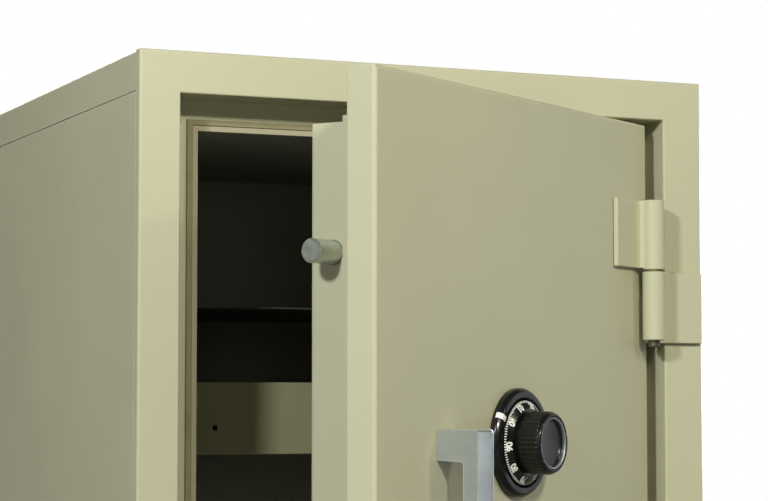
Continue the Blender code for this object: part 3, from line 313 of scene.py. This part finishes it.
def tidy(node, width):
    """Welds the CAD mesh, joins its flat triangles, rounds its edges and shades it smooth."""
    obj = NODES[node]
    add = obj.modifiers.new
    weld = add("join", "NODES")
    weld.node_group = CLEAN
    flat = add("flat", "DECIMATE")
    flat.decimate_type = "DISSOLVE"
    flat.angle_limit = math.radians(FLAT_TURN)
    if width:
        edge = add("edge", "BEVEL")
        edge.limit_method = "ANGLE"
        edge.angle_limit = math.radians(SHARP_TURN)
        edge.width = width
        edge.segments = 3
        edge.miter_outer = "MITER_ARC"
        edge.use_clamp_overlap = True
    smooth = add("smooth", "NODES")
    smooth.node_group = SMOOTH
    level = add("level", "WEIGHTED_NORMAL")
    level.keep_sharp = True
    level.weight = 100
    return obj


def geometry_group(name):
    """An empty geometry node group, its input and its output."""
    group = bpy.data.node_groups.new(name, "GeometryNodeTree")
    group.interface.new_socket("Geometry", in_out="INPUT", socket_type="NodeSocketGeometry")
    group.interface.new_socket("Geometry", in_out="OUTPUT", socket_type="NodeSocketGeometry")
    return group, group.nodes.new("NodeGroupInput").outputs[0], group.nodes.new("NodeGroupOutput").inputs[0]


def welding_group():
    """Geometry nodes that weld split corners and drop the stored normals."""
    group, start, end = geometry_group("weld")
    merge = group.nodes.new("GeometryNodeMergeByDistance")
    merge.inputs["Distance"].default_value = WELD_REACH
    drop = group.nodes.new("GeometryNodeRemoveAttribute")
    drop.inputs["Name"].default_value = "custom_normal"
    group.links.new(start, merge.inputs["Geometry"])
    group.links.new(merge.outputs["Geometry"], drop.inputs["Geometry"])
    group.links.new(drop.outputs["Geometry"], end)
    return group


def smoothing_group():
    """Geometry nodes that shade smooth and keep the sharper edges sharp."""
    group, start, end = geometry_group("smooth")
    faces = group.nodes.new("GeometryNodeSetShadeSmooth")
    faces.domain = "FACE"
    edges = group.nodes.new("GeometryNodeSetShadeSmooth")
    edges.domain = "EDGE"
    angle = group.nodes.new("GeometryNodeInputMeshEdgeAngle")
    under = group.nodes.new("ShaderNodeMath")
    under.operation = "LESS_THAN"
    under.inputs[1].default_value = math.radians(SMOOTH_TURN)
    group.links.new(angle.outputs["Unsigned Angle"], under.inputs[0])
    group.links.new(under.outputs[0], edges.inputs["Shade Smooth"])
    group.links.new(start, faces.inputs["Geometry"])
    group.links.new(faces.outputs["Geometry"], edges.inputs["Geometry"])
    group.links.new(edges.outputs["Geometry"], end)
    return group


CLEAN = welding_group()
SMOOTH = smoothing_group()


def door_place(joint):
    """Frame on a joint of the door: X along the face to the hinges, Y into the door, Z up."""
    inward = Vector(joint["axis"])
    side = inward.cross(UP)
    turned = Matrix((side, inward, UP)).transposed().to_4x4()
    return Matrix.Translation(Vector(joint["pos_m"])) @ turned


def local_box(node, place):
    """Lowest and highest corners of a CAD node in a turned frame."""
    back = place.inverted()
    spots = [back @ v.co for v in NODES[node].data.vertices]
    low = Vector([min(s[i] for s in spots) for i in range(3)])
    high = Vector([max(s[i] for s in spots) for i in range(3)])
    return low, high


def add_piece(name, bm, place, body, finish, replaced=(), smooth_angle=SHARP_TURN):
    """Makes a piece from a mesh in a turned frame and sets it riding on its body."""
    bmesh.ops.recalc_face_normals(bm, faces=bm.faces)
    mesh = bpy.data.meshes.new(name)
    bm.to_mesh(mesh)
    bm.free()
    mesh.shade_smooth()
    mesh.set_sharp_from_angle(angle=math.radians(smooth_angle))
    mesh.materials.append(finish)
    obj = bpy.data.objects.new(name, mesh)
    bpy.context.scene.collection.objects.link(obj)
    obj.matrix_world = place
    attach(obj, body)
    if replaced:
        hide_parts(*replaced)
    return obj


def grid_of_revolution(bm, profile, steps, radius_at=None):
    """Lathes a profile of (radius, y) points about Y. A point on the axis closes the end.

    radius_at(radius, index, angle) may change the radius, to cut flutes.
    """
    rings = []
    for index, (radius, level) in enumerate(profile):
        if radius == 0:
            rings.append([bm.verts.new((0.0, level, 0.0))])
            continue
        ring = []
        for k in range(steps):
            angle = 2 * math.pi * k / steps
            reach = radius_at(radius, index, angle) if radius_at else radius
            ring.append(bm.verts.new((reach * math.cos(angle), level, reach * math.sin(angle))))
        rings.append(ring)
    for first, second in zip(rings, rings[1:]):
        bridge(bm, first, second, steps)
    return rings


def bridge(bm, first, second, steps):
    """Faces between two rings, or between a ring and a single point."""
    for k in range(steps):
        n = (k + 1) % steps
        if len(first) == 1:
            bm.faces.new((first[0], second[n], second[k]))
        elif len(second) == 1:
            bm.faces.new((first[k], first[n], second[0]))
        else:
            bm.faces.new((first[k], first[n], second[n], second[k]))


def ring_of_revolution(bm, profile, steps):
    """Lathes a closed profile that doesn't touch the axis."""
    rings = grid_of_revolution(bm, profile, steps)
    bridge(bm, rings[-1], rings[0], steps)


def rounded(corner, before, after, radius, steps=4):
    """Points that round off a corner of a profile between its two neighbours."""
    c, a, b = Vector(corner), Vector(before), Vector(after)
    start = c + (a - c).normalized() * radius
    end = c + (b - c).normalized() * radius
    points = []
    for i in range(steps + 1):
        t = i / steps
        points.append(tuple(start * (1 - t) ** 2 + c * 2 * t * (1 - t) + end * t * t))
    return points


def rounded_profile(corners, closed=False):
    """A profile from (radius, y, rounding) corners."""
    points = []
    count = len(corners)
    for i, (r, y, fillet) in enumerate(corners):
        if fillet and (closed or 0 < i < count - 1):
            points += rounded((r, y), corners[i - 1][:2], corners[(i + 1) % count][:2], fillet)
        else:
            points.append((r, y))
    return points


# ---- dial ----
ROUND_SEGMENTS = 144
INDEX_ANGLE = 149.0
INDEX_WIDTH, INDEX_RELIEF = 0.0052, 0.00015
DIVISIONS = 100
GRADUATIONS = ((10, 0.0028, 0.0015), (5, 0.0024, 0.0012), (1, 0.0020, 0.0012))
NUMERAL_SIZE, NUMERAL_SHIFT = 0.0086, -0.0013
MARK_RELIEF, MARK_SINK = 0.00012, 0.0003
# Shares of the disc's or the ring's own height and radius.
DIAL_SHOULDER, DIAL_FACE, DIAL_BORE = 0.64, 0.79, 0.11
RING_SHOULDER, RING_BORE, RING_CHAMFER = 0.62, 0.8, 0.0030
# Shares of the knob's radius.
KNOB_NECK, KNOB_BODY, KNOB_EDGE, KNOB_LIP = 0.93, 0.985, 0.925, 0.835
KNOB_FLUTES, FLUTE_DEPTH = 40, 0.0009
FLUTE_STEPS = (0.04, 0.12, 0.5, 0.88, 0.96)
DISH_DEPTH, DISH_HOLLOW = 0.0042, 0.0014
KNOB_RIM_WIDTH = 0.0012


class Slope:
    """The sloping rim of the dial: places points by angle, distance across it and height above it."""

    def __init__(self, outer, inner):
        (r_out, y_out), (r_in, y_in) = outer, inner
        self.r_mid = (r_out + r_in) / 2
        self.y_mid = (y_out + y_in) / 2
        run, rise = r_out - r_in, y_out - y_in
        self.length = math.hypot(run, rise)
        self.out = (run / self.length, rise / self.length)
        self.up = (rise / self.length, -run / self.length)

    def spot(self, angle, along, across, height):
        """Angle in degrees; along the rim clockwise, across it outward and height off it in metres."""
        r = self.r_mid + across * self.out[0] + height * self.up[0]
        y = self.y_mid + across * self.out[1] + height * self.up[1]
        turn = math.radians(angle) - along / (self.r_mid + across * self.out[0])
        return Vector((r * math.cos(turn), y, r * math.sin(turn)))


def add_mark(bm, spot_at, width_in, width_out, start, end):
    """A small tapered bar on a surface given by spot_at(along, across, height)."""
    corners = [(-width_in / 2, start), (width_in / 2, start), (width_out / 2, end), (-width_out / 2, end)]
    low = [bm.verts.new(spot_at(a, c, -MARK_SINK)) for a, c in corners]
    high = [bm.verts.new(spot_at(a * 0.86, c, MARK_RELIEF)) for a, c in corners]
    bm.faces.new(high)
    bm.faces.new(low[::-1])
    for k in range(4):
        n = (k + 1) % 4
        bm.faces.new((low[k], low[n], high[n], high[k]))


def numeral_mesh(text):
    """A short text as a flat triangulated outline, centred, with its width along X."""
    curve = bpy.data.curves.new("numeral", "FONT")
    curve.body = text
    curve.size = NUMERAL_SIZE
    curve.align_x = "CENTER"
    curve.align_y = "CENTER"
    curve.offset = NUMERAL_SIZE * 0.040
    curve.extrude = MARK_SINK
    curve.resolution_u = 3
    holder = bpy.data.objects.new("numeral", curve)
    bpy.context.scene.collection.objects.link(holder)
    mesh = bpy.data.meshes.new_from_object(holder)
    bpy.data.objects.remove(holder, do_unlink=True)
    bpy.data.curves.remove(curve)
    return mesh


def build_dial(place, finishes):
    """The turning disc, its engraved rim and its numerals."""
    low, high = local_box("dial", place)
    radius = high.x
    face = low.y
    shoulder = face * DIAL_SHOULDER
    inner = radius * DIAL_FACE
    bore = radius * DIAL_BORE
    slope = Slope((radius, shoulder), (inner, face))
    corners = [
        (bore, high.y, 0.0),
        (radius, high.y, 0.0004),
        (radius, shoulder, 0.0005),
        (inner, face, 0.0006),
        (bore, face, 0.0),
    ]
    bm = bmesh.new()
    ring_of_revolution(bm, rounded_profile(corners, closed=True), ROUND_SEGMENTS)
    add_piece("dial_disc", bm, place, "dial", finishes["black"], ("dial",))

    edge = slope.length / 2 - 0.0006
    bm = bmesh.new()
    for k in range(DIVISIONS):
        angle = INDEX_ANGLE - 360.0 * k / DIVISIONS
        length, wide = next((long, wide) for every, long, wide in GRADUATIONS if k % every == 0)
        add_mark(bm, functools.partial(slope.spot, angle), wide * 0.85, wide, edge - length, edge)
    add_piece("dial_graduations", bm, place, "dial", finishes["marks"])

    bm = bmesh.new()
    for tens in range(10):
        angle = INDEX_ANGLE - 36.0 * tens
        text = numeral_mesh(str(tens * 10))
        held = bmesh.new()
        held.from_mesh(text)
        for v in held.verts:
            height = MARK_RELIEF if v.co.z > 0 else -MARK_SINK
            v.co = slope.spot(angle, v.co.x, v.co.y + NUMERAL_SHIFT, height)
        held.to_mesh(text)
        held.free()
        bm.from_mesh(text)
        bpy.data.meshes.remove(text)
    add_piece("dial_numerals", bm, place, "dial", finishes["marks"])


def build_dial_ring(place, finishes):
    """The fixed ring round the dial, with the index mark laid over it."""
    low, high = local_box("dial_ring", place)
    radius = high.x
    bore = radius * RING_BORE
    top = low.y
    shoulder = top * RING_SHOULDER
    corners = [
        (bore, high.y, 0.0),
        (radius, high.y, 0.0),
        (radius, shoulder, 0.0012),
        (radius - RING_CHAMFER, top, 0.0012),
        (bore + 0.0016, top, 0.0007),
        (bore, top * 0.80, 0.0007),
    ]
    bm = bmesh.new()
    ring_of_revolution(bm, rounded_profile(corners, closed=True), ROUND_SEGMENTS)
    add_piece("dial_bezel", bm, place, "door", finishes["black"], ("dial_ring",))

    path = rounded_profile([
        (radius, top * 0.35, 0.0),
        (radius, shoulder, 0.0012),
        (radius - RING_CHAMFER, top, 0.0012),
        (bore + 0.0020, top, 0.0),
    ])
    bm = bmesh.new()
    add_band_mark(bm, path, INDEX_ANGLE, INDEX_WIDTH, INDEX_RELIEF)
    add_piece("dial_index", bm, place, "door", finishes["marks"], (), 60.0)


def add_band_mark(bm, path, angle, width, relief):
    """A bar of even width laid over a turned profile, standing out by its relief."""
    layers = []
    for rise in (relief, -MARK_SINK):
        rows = []
        for i, (r, y) in enumerate(path):
            before = Vector(path[max(i - 1, 0)])
            after = Vector(path[min(i + 1, len(path) - 1)])
            run = (after - before).normalized()
            reach = r - run.y * rise
            level = y + run.x * rise
            turns = [math.radians(angle) + side * width / 2 / reach for side in (-1, 1)]
            rows.append([bm.verts.new((reach * math.cos(t), level, reach * math.sin(t))) for t in turns])
        layers.append(rows)
    top, low = layers
    for (a, b), (c, d), (e, f), (g, h) in zip(top, top[1:], low, low[1:]):
        bm.faces.new((a, b, d, c))
        bm.faces.new((e, g, h, f))
        bm.faces.new((a, c, g, e))
        bm.faces.new((b, f, h, d))
    for high_end, low_end in ((top[0], low[0]), (top[-1], low[-1])):
        bm.faces.new((*high_end, low_end[1], low_end[0]))


def build_knob(place, finishes):
    """The fluted knob with its dished face, and a thin metal ring in the dish that partly stands in as a
    painted highlight on the dish's edge.
    """
    low, high = local_box("dial_knob", place)
    radius = high.x
    front = low.y
    back = local_box("dial", place)[0].y - 0.0003
    dish = front + DISH_DEPTH
    lip = radius * KNOB_LIP
    body_from = radius * 0.95
    grip_start = back - 0.0035
    grip_end = front + 0.0035
    corners = [
        (0.0, back, 0.0),
        (radius * KNOB_NECK, back, 0.0006),
        (radius * KNOB_NECK, back - 0.0020, 0.0008),
        (radius * KNOB_BODY, grip_start, 0.0008),
        (radius * KNOB_BODY, grip_end, 0.0012),
        (radius * KNOB_EDGE, front, 0.0012),
        (lip, front, 0.0010),
        (lip - 0.0022, dish, 0.0014),
        (0.0, dish + DISH_HOLLOW, 0.0),
    ]
    profile = rounded_profile(corners)

    def fluted(reach, index, angle):
        level = profile[index][1]
        if reach < body_from or level > grip_start or level < grip_end:
            return reach
        wave = 0.5 - 0.5 * math.cos(KNOB_FLUTES * angle)
        return reach + radius * (1 - KNOB_BODY) - FLUTE_DEPTH * wave ** 1.6

    fine = []
    for (r0, y0), (r1, y1) in zip(profile, profile[1:]):
        fine.append((r0, y0))
        if abs(y1 - y0) > 0.004 and r0 > body_from:
            fine += [(r0 + (r1 - r0) * t, y0 + (y1 - y0) * t) for t in FLUTE_STEPS]
    fine.append(profile[-1])
    profile = fine
    bm = bmesh.new()
    grid_of_revolution(bm, profile, KNOB_FLUTES * 8, fluted)
    add_piece("dial_grip", bm, place, "dial", finishes["black"], ("dial_knob",), 40.0)

    # A silver ring round the dish: a metal part that also stands in for the highlight on the dish's chamfer.
    rim = lip - 0.0007
    bore = rim - KNOB_RIM_WIDTH
    corners = [
        (rim, front + 0.0011, 0.0),
        (rim, front + 0.0001, 0.0002),
        (bore, front + 0.0007, 0.0002),
        (bore, front + 0.0030, 0.0),
    ]
    bm = bmesh.new()
    ring_of_revolution(bm, rounded_profile(corners, closed=True), ROUND_SEGMENTS)
    add_piece("dial_grip_rim_highlight", bm, place, "dial", finishes["silver"], (), 40.0)


# ---- handle ----
GRIP_THICKNESS = 0.0135
BEND_ROUND, RIM_ROUND = 0.0030, 0.0015
CLOSE = 1e-6


def edges_at(bm, y=None, z=None):
    """Edges that lie at the given levels along their whole length."""
    def level(v):
        return (y is None or abs(v.co.y - y) < CLOSE) and (z is None or abs(v.co.z - z) < CLOSE)

    return [e for e in bm.edges if all(level(v) for v in e.verts)]


def build_handle(place, finishes):
    """One casting: a square neck out of the door and a flat grip that hangs from it."""
    low, high = local_box("handle", place)
    half = high.x
    top = high.z
    face = low.y
    grip_back = face + GRIP_THICKNESS
    outline = [
        (high.y, top),
        (face, top),
        (face, low.z),
        (grip_back, low.z),
        (grip_back, -half),
        (high.y, -half),
    ]
    bm = bmesh.new()
    sides = []
    for x in (-half, half):
        sides.append([bm.verts.new((x, y, z)) for y, z in outline])
    bm.faces.new(sides[0])
    bm.faces.new(sides[1][::-1])
    for k in range(len(outline)):
        n = (k + 1) % len(outline)
        bm.faces.new((sides[0][k], sides[0][n], sides[1][n], sides[1][k]))
    bm.normal_update()
    bends = edges_at(bm, y=face, z=top) + edges_at(bm, y=grip_back, z=-half)
    bends += [e for e in edges_at(bm, z=low.z) if abs(e.verts[0].co.x - e.verts[1].co.x) > half]
    bmesh.ops.bevel(bm, geom=bends, offset=BEND_ROUND, segments=6, profile=0.5, affect="EDGES")
    seam = high.y - 0.00001
    rims = []
    for e in bm.edges:
        if e.calc_face_angle(0.0) > math.radians(50) and min(v.co.y for v in e.verts) < seam:
            rims.append(e)
    bmesh.ops.bevel(
        bm, geom=rims, offset=RIM_ROUND, segments=4, profile=0.5, affect="EDGES", clamp_overlap=True
    )
    add_piece("handle_lever", bm, place, "handle", finishes["silver"], ("handle",))


# ---- cover screws ----
SCREW_COUNT = 6
# Shares of the head's radius.
SCREW_SHANK, SCREW_FLANGE = 0.48, 0.94
CROSS_ARM, CROSS_SLOT, CROSS_DEPTH = 0.0021, 0.00042, 0.0011
CROWN_HEIGHT = 0.0024
CROWN_STEPS = 8


def screw_profile(radius, tip, base):
    """Shank, flange and domed pan head, as (radius, y) points from the tip to the crown."""
    profile = [
        (0.0, tip),
        (radius * SCREW_SHANK, tip),
        (radius * SCREW_SHANK, base),
        (radius * SCREW_FLANGE, base),
        (radius, base + 0.0003),
    ]
    for k in range(CROWN_STEPS):
        turn = math.pi / 2 * k / CROWN_STEPS
        rise = (CROWN_HEIGHT - 0.0005) * math.sin(turn)
        profile.append((radius * math.cos(turn), base + 0.0005 + rise))
    return profile + [(0.0, base + CROWN_HEIGHT)]


def cross_cutter(level, turn):
    """Two crossed bars that sink the driver's recess into a head whose crown is at this level."""
    bm = bmesh.new()
    for wide, tall in ((CROSS_ARM, CROSS_SLOT), (CROSS_SLOT, CROSS_ARM)):
        made = bmesh.ops.create_cube(bm, size=1.0)["verts"]
        bmesh.ops.scale(bm, verts=made, vec=(2 * wide, 2 * CROSS_DEPTH, 2 * tall))
        bmesh.ops.translate(bm, verts=made, vec=(0.0, level, 0.0))
        bmesh.ops.rotate(bm, verts=made, cent=(0.0, 0.0, 0.0), matrix=Matrix.Rotation(turn, 3, "Y"))
    return mesh_object(bm)


def build_cover_screws(place, finishes):
    """Pan-head screws with a cross recess, in place of the plain ones."""
    for number in range(1, SCREW_COUNT + 1):
        node = "cover_screw_%d" % number
        low, high = local_box(node, place)
        centre = Vector(((low.x + high.x) / 2, 0.0, (low.z + high.z) / 2))
        base = high.y - CROWN_HEIGHT
        bm = bmesh.new()
        grid_of_revolution(bm, screw_profile((high.x - low.x) / 2, low.y, base), 40)
        head = mesh_object(bm)
        tool = cross_cutter(base + CROWN_HEIGHT, number * 1.1)
        cutter = head.modifiers.new("cross", "BOOLEAN")
        cutter.operation = "DIFFERENCE"
        cutter.solver = "EXACT"
        cutter.use_self = True
        cutter.object = tool
        shaped = bmesh.new()
        shaped.from_mesh(head.evaluated_get(bpy.context.evaluated_depsgraph_get()).to_mesh())
        for spare in (head, tool):
            bpy.data.objects.remove(spare, do_unlink=True)
        add_piece(
            "cover_screw_head_%d" % number, shaped, place @ Matrix.Translation(centre), "door",
            finishes["zinc"], (node,), 30.0,
        )


def mesh_object(bm):
    """A linked object made from a mesh that is then let go."""
    bmesh.ops.recalc_face_normals(bm, faces=bm.faces)
    mesh = bpy.data.meshes.new("work")
    bm.to_mesh(mesh)
    bm.free()
    obj = bpy.data.objects.new("work", mesh)
    bpy.context.scene.collection.objects.link(obj)
    return obj


# ---- finishes of the CAD nodes ----
DOOR_ANGLE = math.radians(-JOINTS["door_hinge"]["range_deg"][0])

FINISHES = {
    "paint": enamel("paint_beige", PAINT_BEIGE),
    "liner": liner_enamel("liner_grey_enamel", LINER_GREY, FLANGE_BEIGE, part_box("inner_liner")[0][1] + 0.0012),
    # Shelf enamel painted dark as shade.
    "dark": enamel("shelf_painted_shade", SHELF_GREY_PAINTED_SHADE, 0.55, 0.00005, 0.2),
    # Tray enamel in the beige painted darker as shade.
    "tray": enamel("tray_beige_painted_shade", TRAY_BEIGE_SHADED, 0.45),
    "seal": felt_strip("seal_felt", SEAL_BROWN),
    "steel": turned_steel("turned_steel", BOLT_STEEL, (0.0, 0.0, DOOR_ANGLE)),
    # Hinge pins in steel painted darker as shade.
    "pin": turned_steel("pin_steel_painted_shade", PIN_STEEL_SHADED, (0.0, math.radians(90), 0.0), 0.34),
    "silver": cast_silver("cast_silver", SILVER),
    "zinc": plated("zinc_plate", ZINC_GREY),
    "brass": plated("brass", BRASS_GOLD, 0.32, 0.00001),
    "fill": cast_fill("cast_fill", FILL_GREY),
    "black": black_enamel("black_enamel", DIAL_BLACK),
    "marks": mark_paint("mark_white", MARK_WHITE),
}

SHEET_EDGE = 0.0004
NODE_LOOKS = {
    "paint": {
        "front_frame": 0.0007, "side_wrap": SHEET_EDGE, "top_cap": SHEET_EDGE, "back_panel": 0.0,
        "door_skin": SHEET_EDGE, "door_back_plate": SHEET_EDGE, "plug_box": SHEET_EDGE,
        "plug_cover": 0.0, "hinge_frame_leaf_upper": 0.0005, "hinge_frame_leaf_lower": 0.0005,
        "hinge_door_leaf_upper": 0.0005, "hinge_door_leaf_lower": 0.0005,
    },
    "liner": {"inner_liner": 0.0},
    "dark": {"upper_shelf": 0.0},
    "tray": {"document_tray": 0.0},
    "seal": {"lip_seal": 0.0},
    "steel": {"bolt_upper": 0.0, "bolt_lower": 0.0, "handle_spindle": 0.0, "dial_spindle": 0.0},
    "pin": {"hinge_pin_upper": 0.0, "hinge_pin_lower": 0.0},
    "zinc": {
        "bolt_socket_upper": 0.0, "bolt_socket_lower": 0.0, "shelf_ledge_upper_left": 0.0,
        "shelf_ledge_upper_right": 0.0, "shelf_ledge_lower_left": 0.0, "shelf_ledge_lower_right": 0.0,
        "mechanism_plate": 0.0, "bolt_guide_upper": 0.0, "bolt_guide_lower": 0.0, "handle_tube": 0.0,
        "dial_tube": 0.0, "lock_case": SHEET_EDGE, "handle_cam": SHEET_EDGE, "bolt_carriage": SHEET_EDGE,
    },
    "brass": {
        "hinge_washer_upper": 0.0, "hinge_washer_lower": 0.0, "lock_wheel_1": 0.0, "lock_wheel_2": 0.0,
        "lock_wheel_3": 0.0, "lock_cover": 0.0, "drive_wheel": 0.0, "lock_bolt": SHEET_EDGE,
    },
    "fill": {
        "body_insulation": 0.0, "side_insulation": 0.0, "door_insulation": 0.0, "plug_insulation": 0.0,
    },
}


def finish_nodes():
    """Rounds and paints every CAD node that no finer piece replaces."""
    for look, members in NODE_LOOKS.items():
        for node, width in members.items():
            obj = tidy(node, width)
            for slot in obj.material_slots:
                slot.material = FINISHES[look]


# ---- stage, light and camera ----
FLOOR_HALF = 4.0
FLOOR_TONES = ((0.49, 0.49, 0.485), (0.51, 0.51, 0.505))
FLOOR_NEAR, FLOOR_FAR = 0.8, 3.6
FLOOR_GLOW_NEAR, FLOOR_GLOW_FAR = 0.55, 1.0
AMBIENT, BACKDROP = 0.038, 1.0
LIGHT_AIM = Vector((0.0, -0.3, 0.45))
# Azimuth 0 is straight in front and plus is to the right, then elevation, distance, size, power and colour.
LIGHTS = {
    "key_left": (-51.0, 24.0, 3.2, 0.30, 64.0, (0.97, 0.985, 0.99)),
    "front_key": (-2.0, 27.5, 3.0, 0.22, 43.0, (1.0, 0.965, 0.84)),
    "small_right": (45.0, 27.0, 3.0, 0.25, 15.0, (1.0, 0.95, 0.78)),
    "low_front": (-22.0, 3.0, 3.4, 0.5, 2.2, (1.0, 0.98, 0.92)),
    "right_card": (91.0, 6.0, 2.5, 1.6, 6.0, (0.94, 0.98, 1.0)),
    "left_card": (-110.0, 8.0, 3.0, 1.2, 6.0, (1.0, 0.99, 0.93)),
    "back": (-174.0, 35.0, 4.0, 2.0, 95.0, (1.0, 0.99, 0.95)),
    "back_right": (126.0, 3.0, 4.0, 0.8, 55.0, (1.0, 0.99, 0.95)),
}
CAMERA_PLACE = (-0.9222, -2.2689, 0.4021)
CAMERA_TURN = (93.7726, 0.0, -23.625)
CAMERA_LENS, CAMERA_SENSOR = 105.97, 36.0


def build_stage():
    """A pale floor that turns white towards its rim, as the camera sees it."""
    bm = bmesh.new()
    bmesh.ops.create_grid(bm, x_segments=1, y_segments=1, size=FLOOR_HALF)
    mesh = bpy.data.meshes.new("floor")
    bm.to_mesh(mesh)
    bm.free()
    floor = bpy.data.objects.new("floor", mesh)
    bpy.context.scene.collection.objects.link(floor)
    g = Graph("floor_pale", Specular_IOR_Level=0.1)
    g.set("Base Color", g.blend(g.noise(3.0), linear(FLOOR_TONES[0]), linear(FLOOR_TONES[1])))
    g.set("Roughness", g.span(g.noise(8.0), 0.3, 0.7, 0.8, 0.9))
    g.shader.inputs["Emission Color"].default_value = (1.0, 1.0, 1.0, 1.0)
    seen = g.node("ShaderNodeLightPath").outputs["Is Camera Ray"]
    reach = g.node("ShaderNodeVectorMath", {"Vector": g.place}, operation="LENGTH").outputs["Value"]
    glow = g.span(reach, FLOOR_NEAR, FLOOR_FAR, FLOOR_GLOW_NEAR, FLOOR_GLOW_FAR)
    g.set("Emission Strength", g.sum(seen, glow, "MULTIPLY"))
    mesh.materials.append(g.material)


def build_world(ambient, seen):
    """Pale surroundings: one level lights the object and another is what the camera sees behind it."""
    world = bpy.data.worlds.new("studio")
    world.use_nodes = True
    bpy.context.scene.world = world
    tree = world.node_tree
    lit = tree.nodes["Background"]
    lit.inputs["Color"].default_value = (0.97, 0.985, 1.0, 1.0)
    lit.inputs["Strength"].default_value = ambient
    white = tree.nodes.new("ShaderNodeBackground")
    white.inputs["Color"].default_value = (1.0, 1.0, 1.0, 1.0)
    white.inputs["Strength"].default_value = seen
    path = tree.nodes.new("ShaderNodeLightPath")
    mix = tree.nodes.new("ShaderNodeMixShader")
    tree.links.new(path.outputs["Is Camera Ray"], mix.inputs[0])
    tree.links.new(lit.outputs[0], mix.inputs[1])
    tree.links.new(white.outputs[0], mix.inputs[2])
    tree.links.new(mix.outputs[0], tree.nodes["World Output"].inputs["Surface"])


def add_light(name, azimuth, elevation, distance, size, power, colour):
    """A square soft light that faces the safe."""
    data = bpy.data.lights.new(name, "AREA")
    data.size = size
    data.energy = power
    data.color = colour
    lamp = bpy.data.objects.new(name, data)
    a = math.radians(azimuth)
    e = math.radians(elevation)
    away = Vector((math.sin(a) * math.cos(e), -math.cos(a) * math.cos(e), math.sin(e)))
    lamp.location = LIGHT_AIM + away * distance
    lamp.rotation_euler = away.to_track_quat("Z", "Y").to_euler()
    bpy.context.scene.collection.objects.link(lamp)


def build_camera():
    """The photo's camera."""
    data = bpy.data.cameras.new("camera")
    data.sensor_width = CAMERA_SENSOR
    data.lens = CAMERA_LENS
    camera = bpy.data.objects.new("camera", data)
    camera.location = CAMERA_PLACE
    camera.rotation_euler = [math.radians(turn) for turn in CAMERA_TURN]
    bpy.context.scene.collection.objects.link(camera)
    bpy.context.scene.camera = camera


build_camera()
finish_nodes()
handle_place = door_place(JOINTS["handle_turn"])
dial_place = door_place(JOINTS["dial_turn"])
build_dial_ring(dial_place, FINISHES)
build_dial(dial_place, FINISHES)
build_knob(dial_place, FINISHES)
build_handle(handle_place, FINISHES)
build_cover_screws(dial_place, FINISHES)
build_stage()
build_world(AMBIENT, BACKDROP)
for light, settings in LIGHTS.items():
    add_light(light, *settings)
bpy.context.scene.view_settings.view_transform = "Standard"
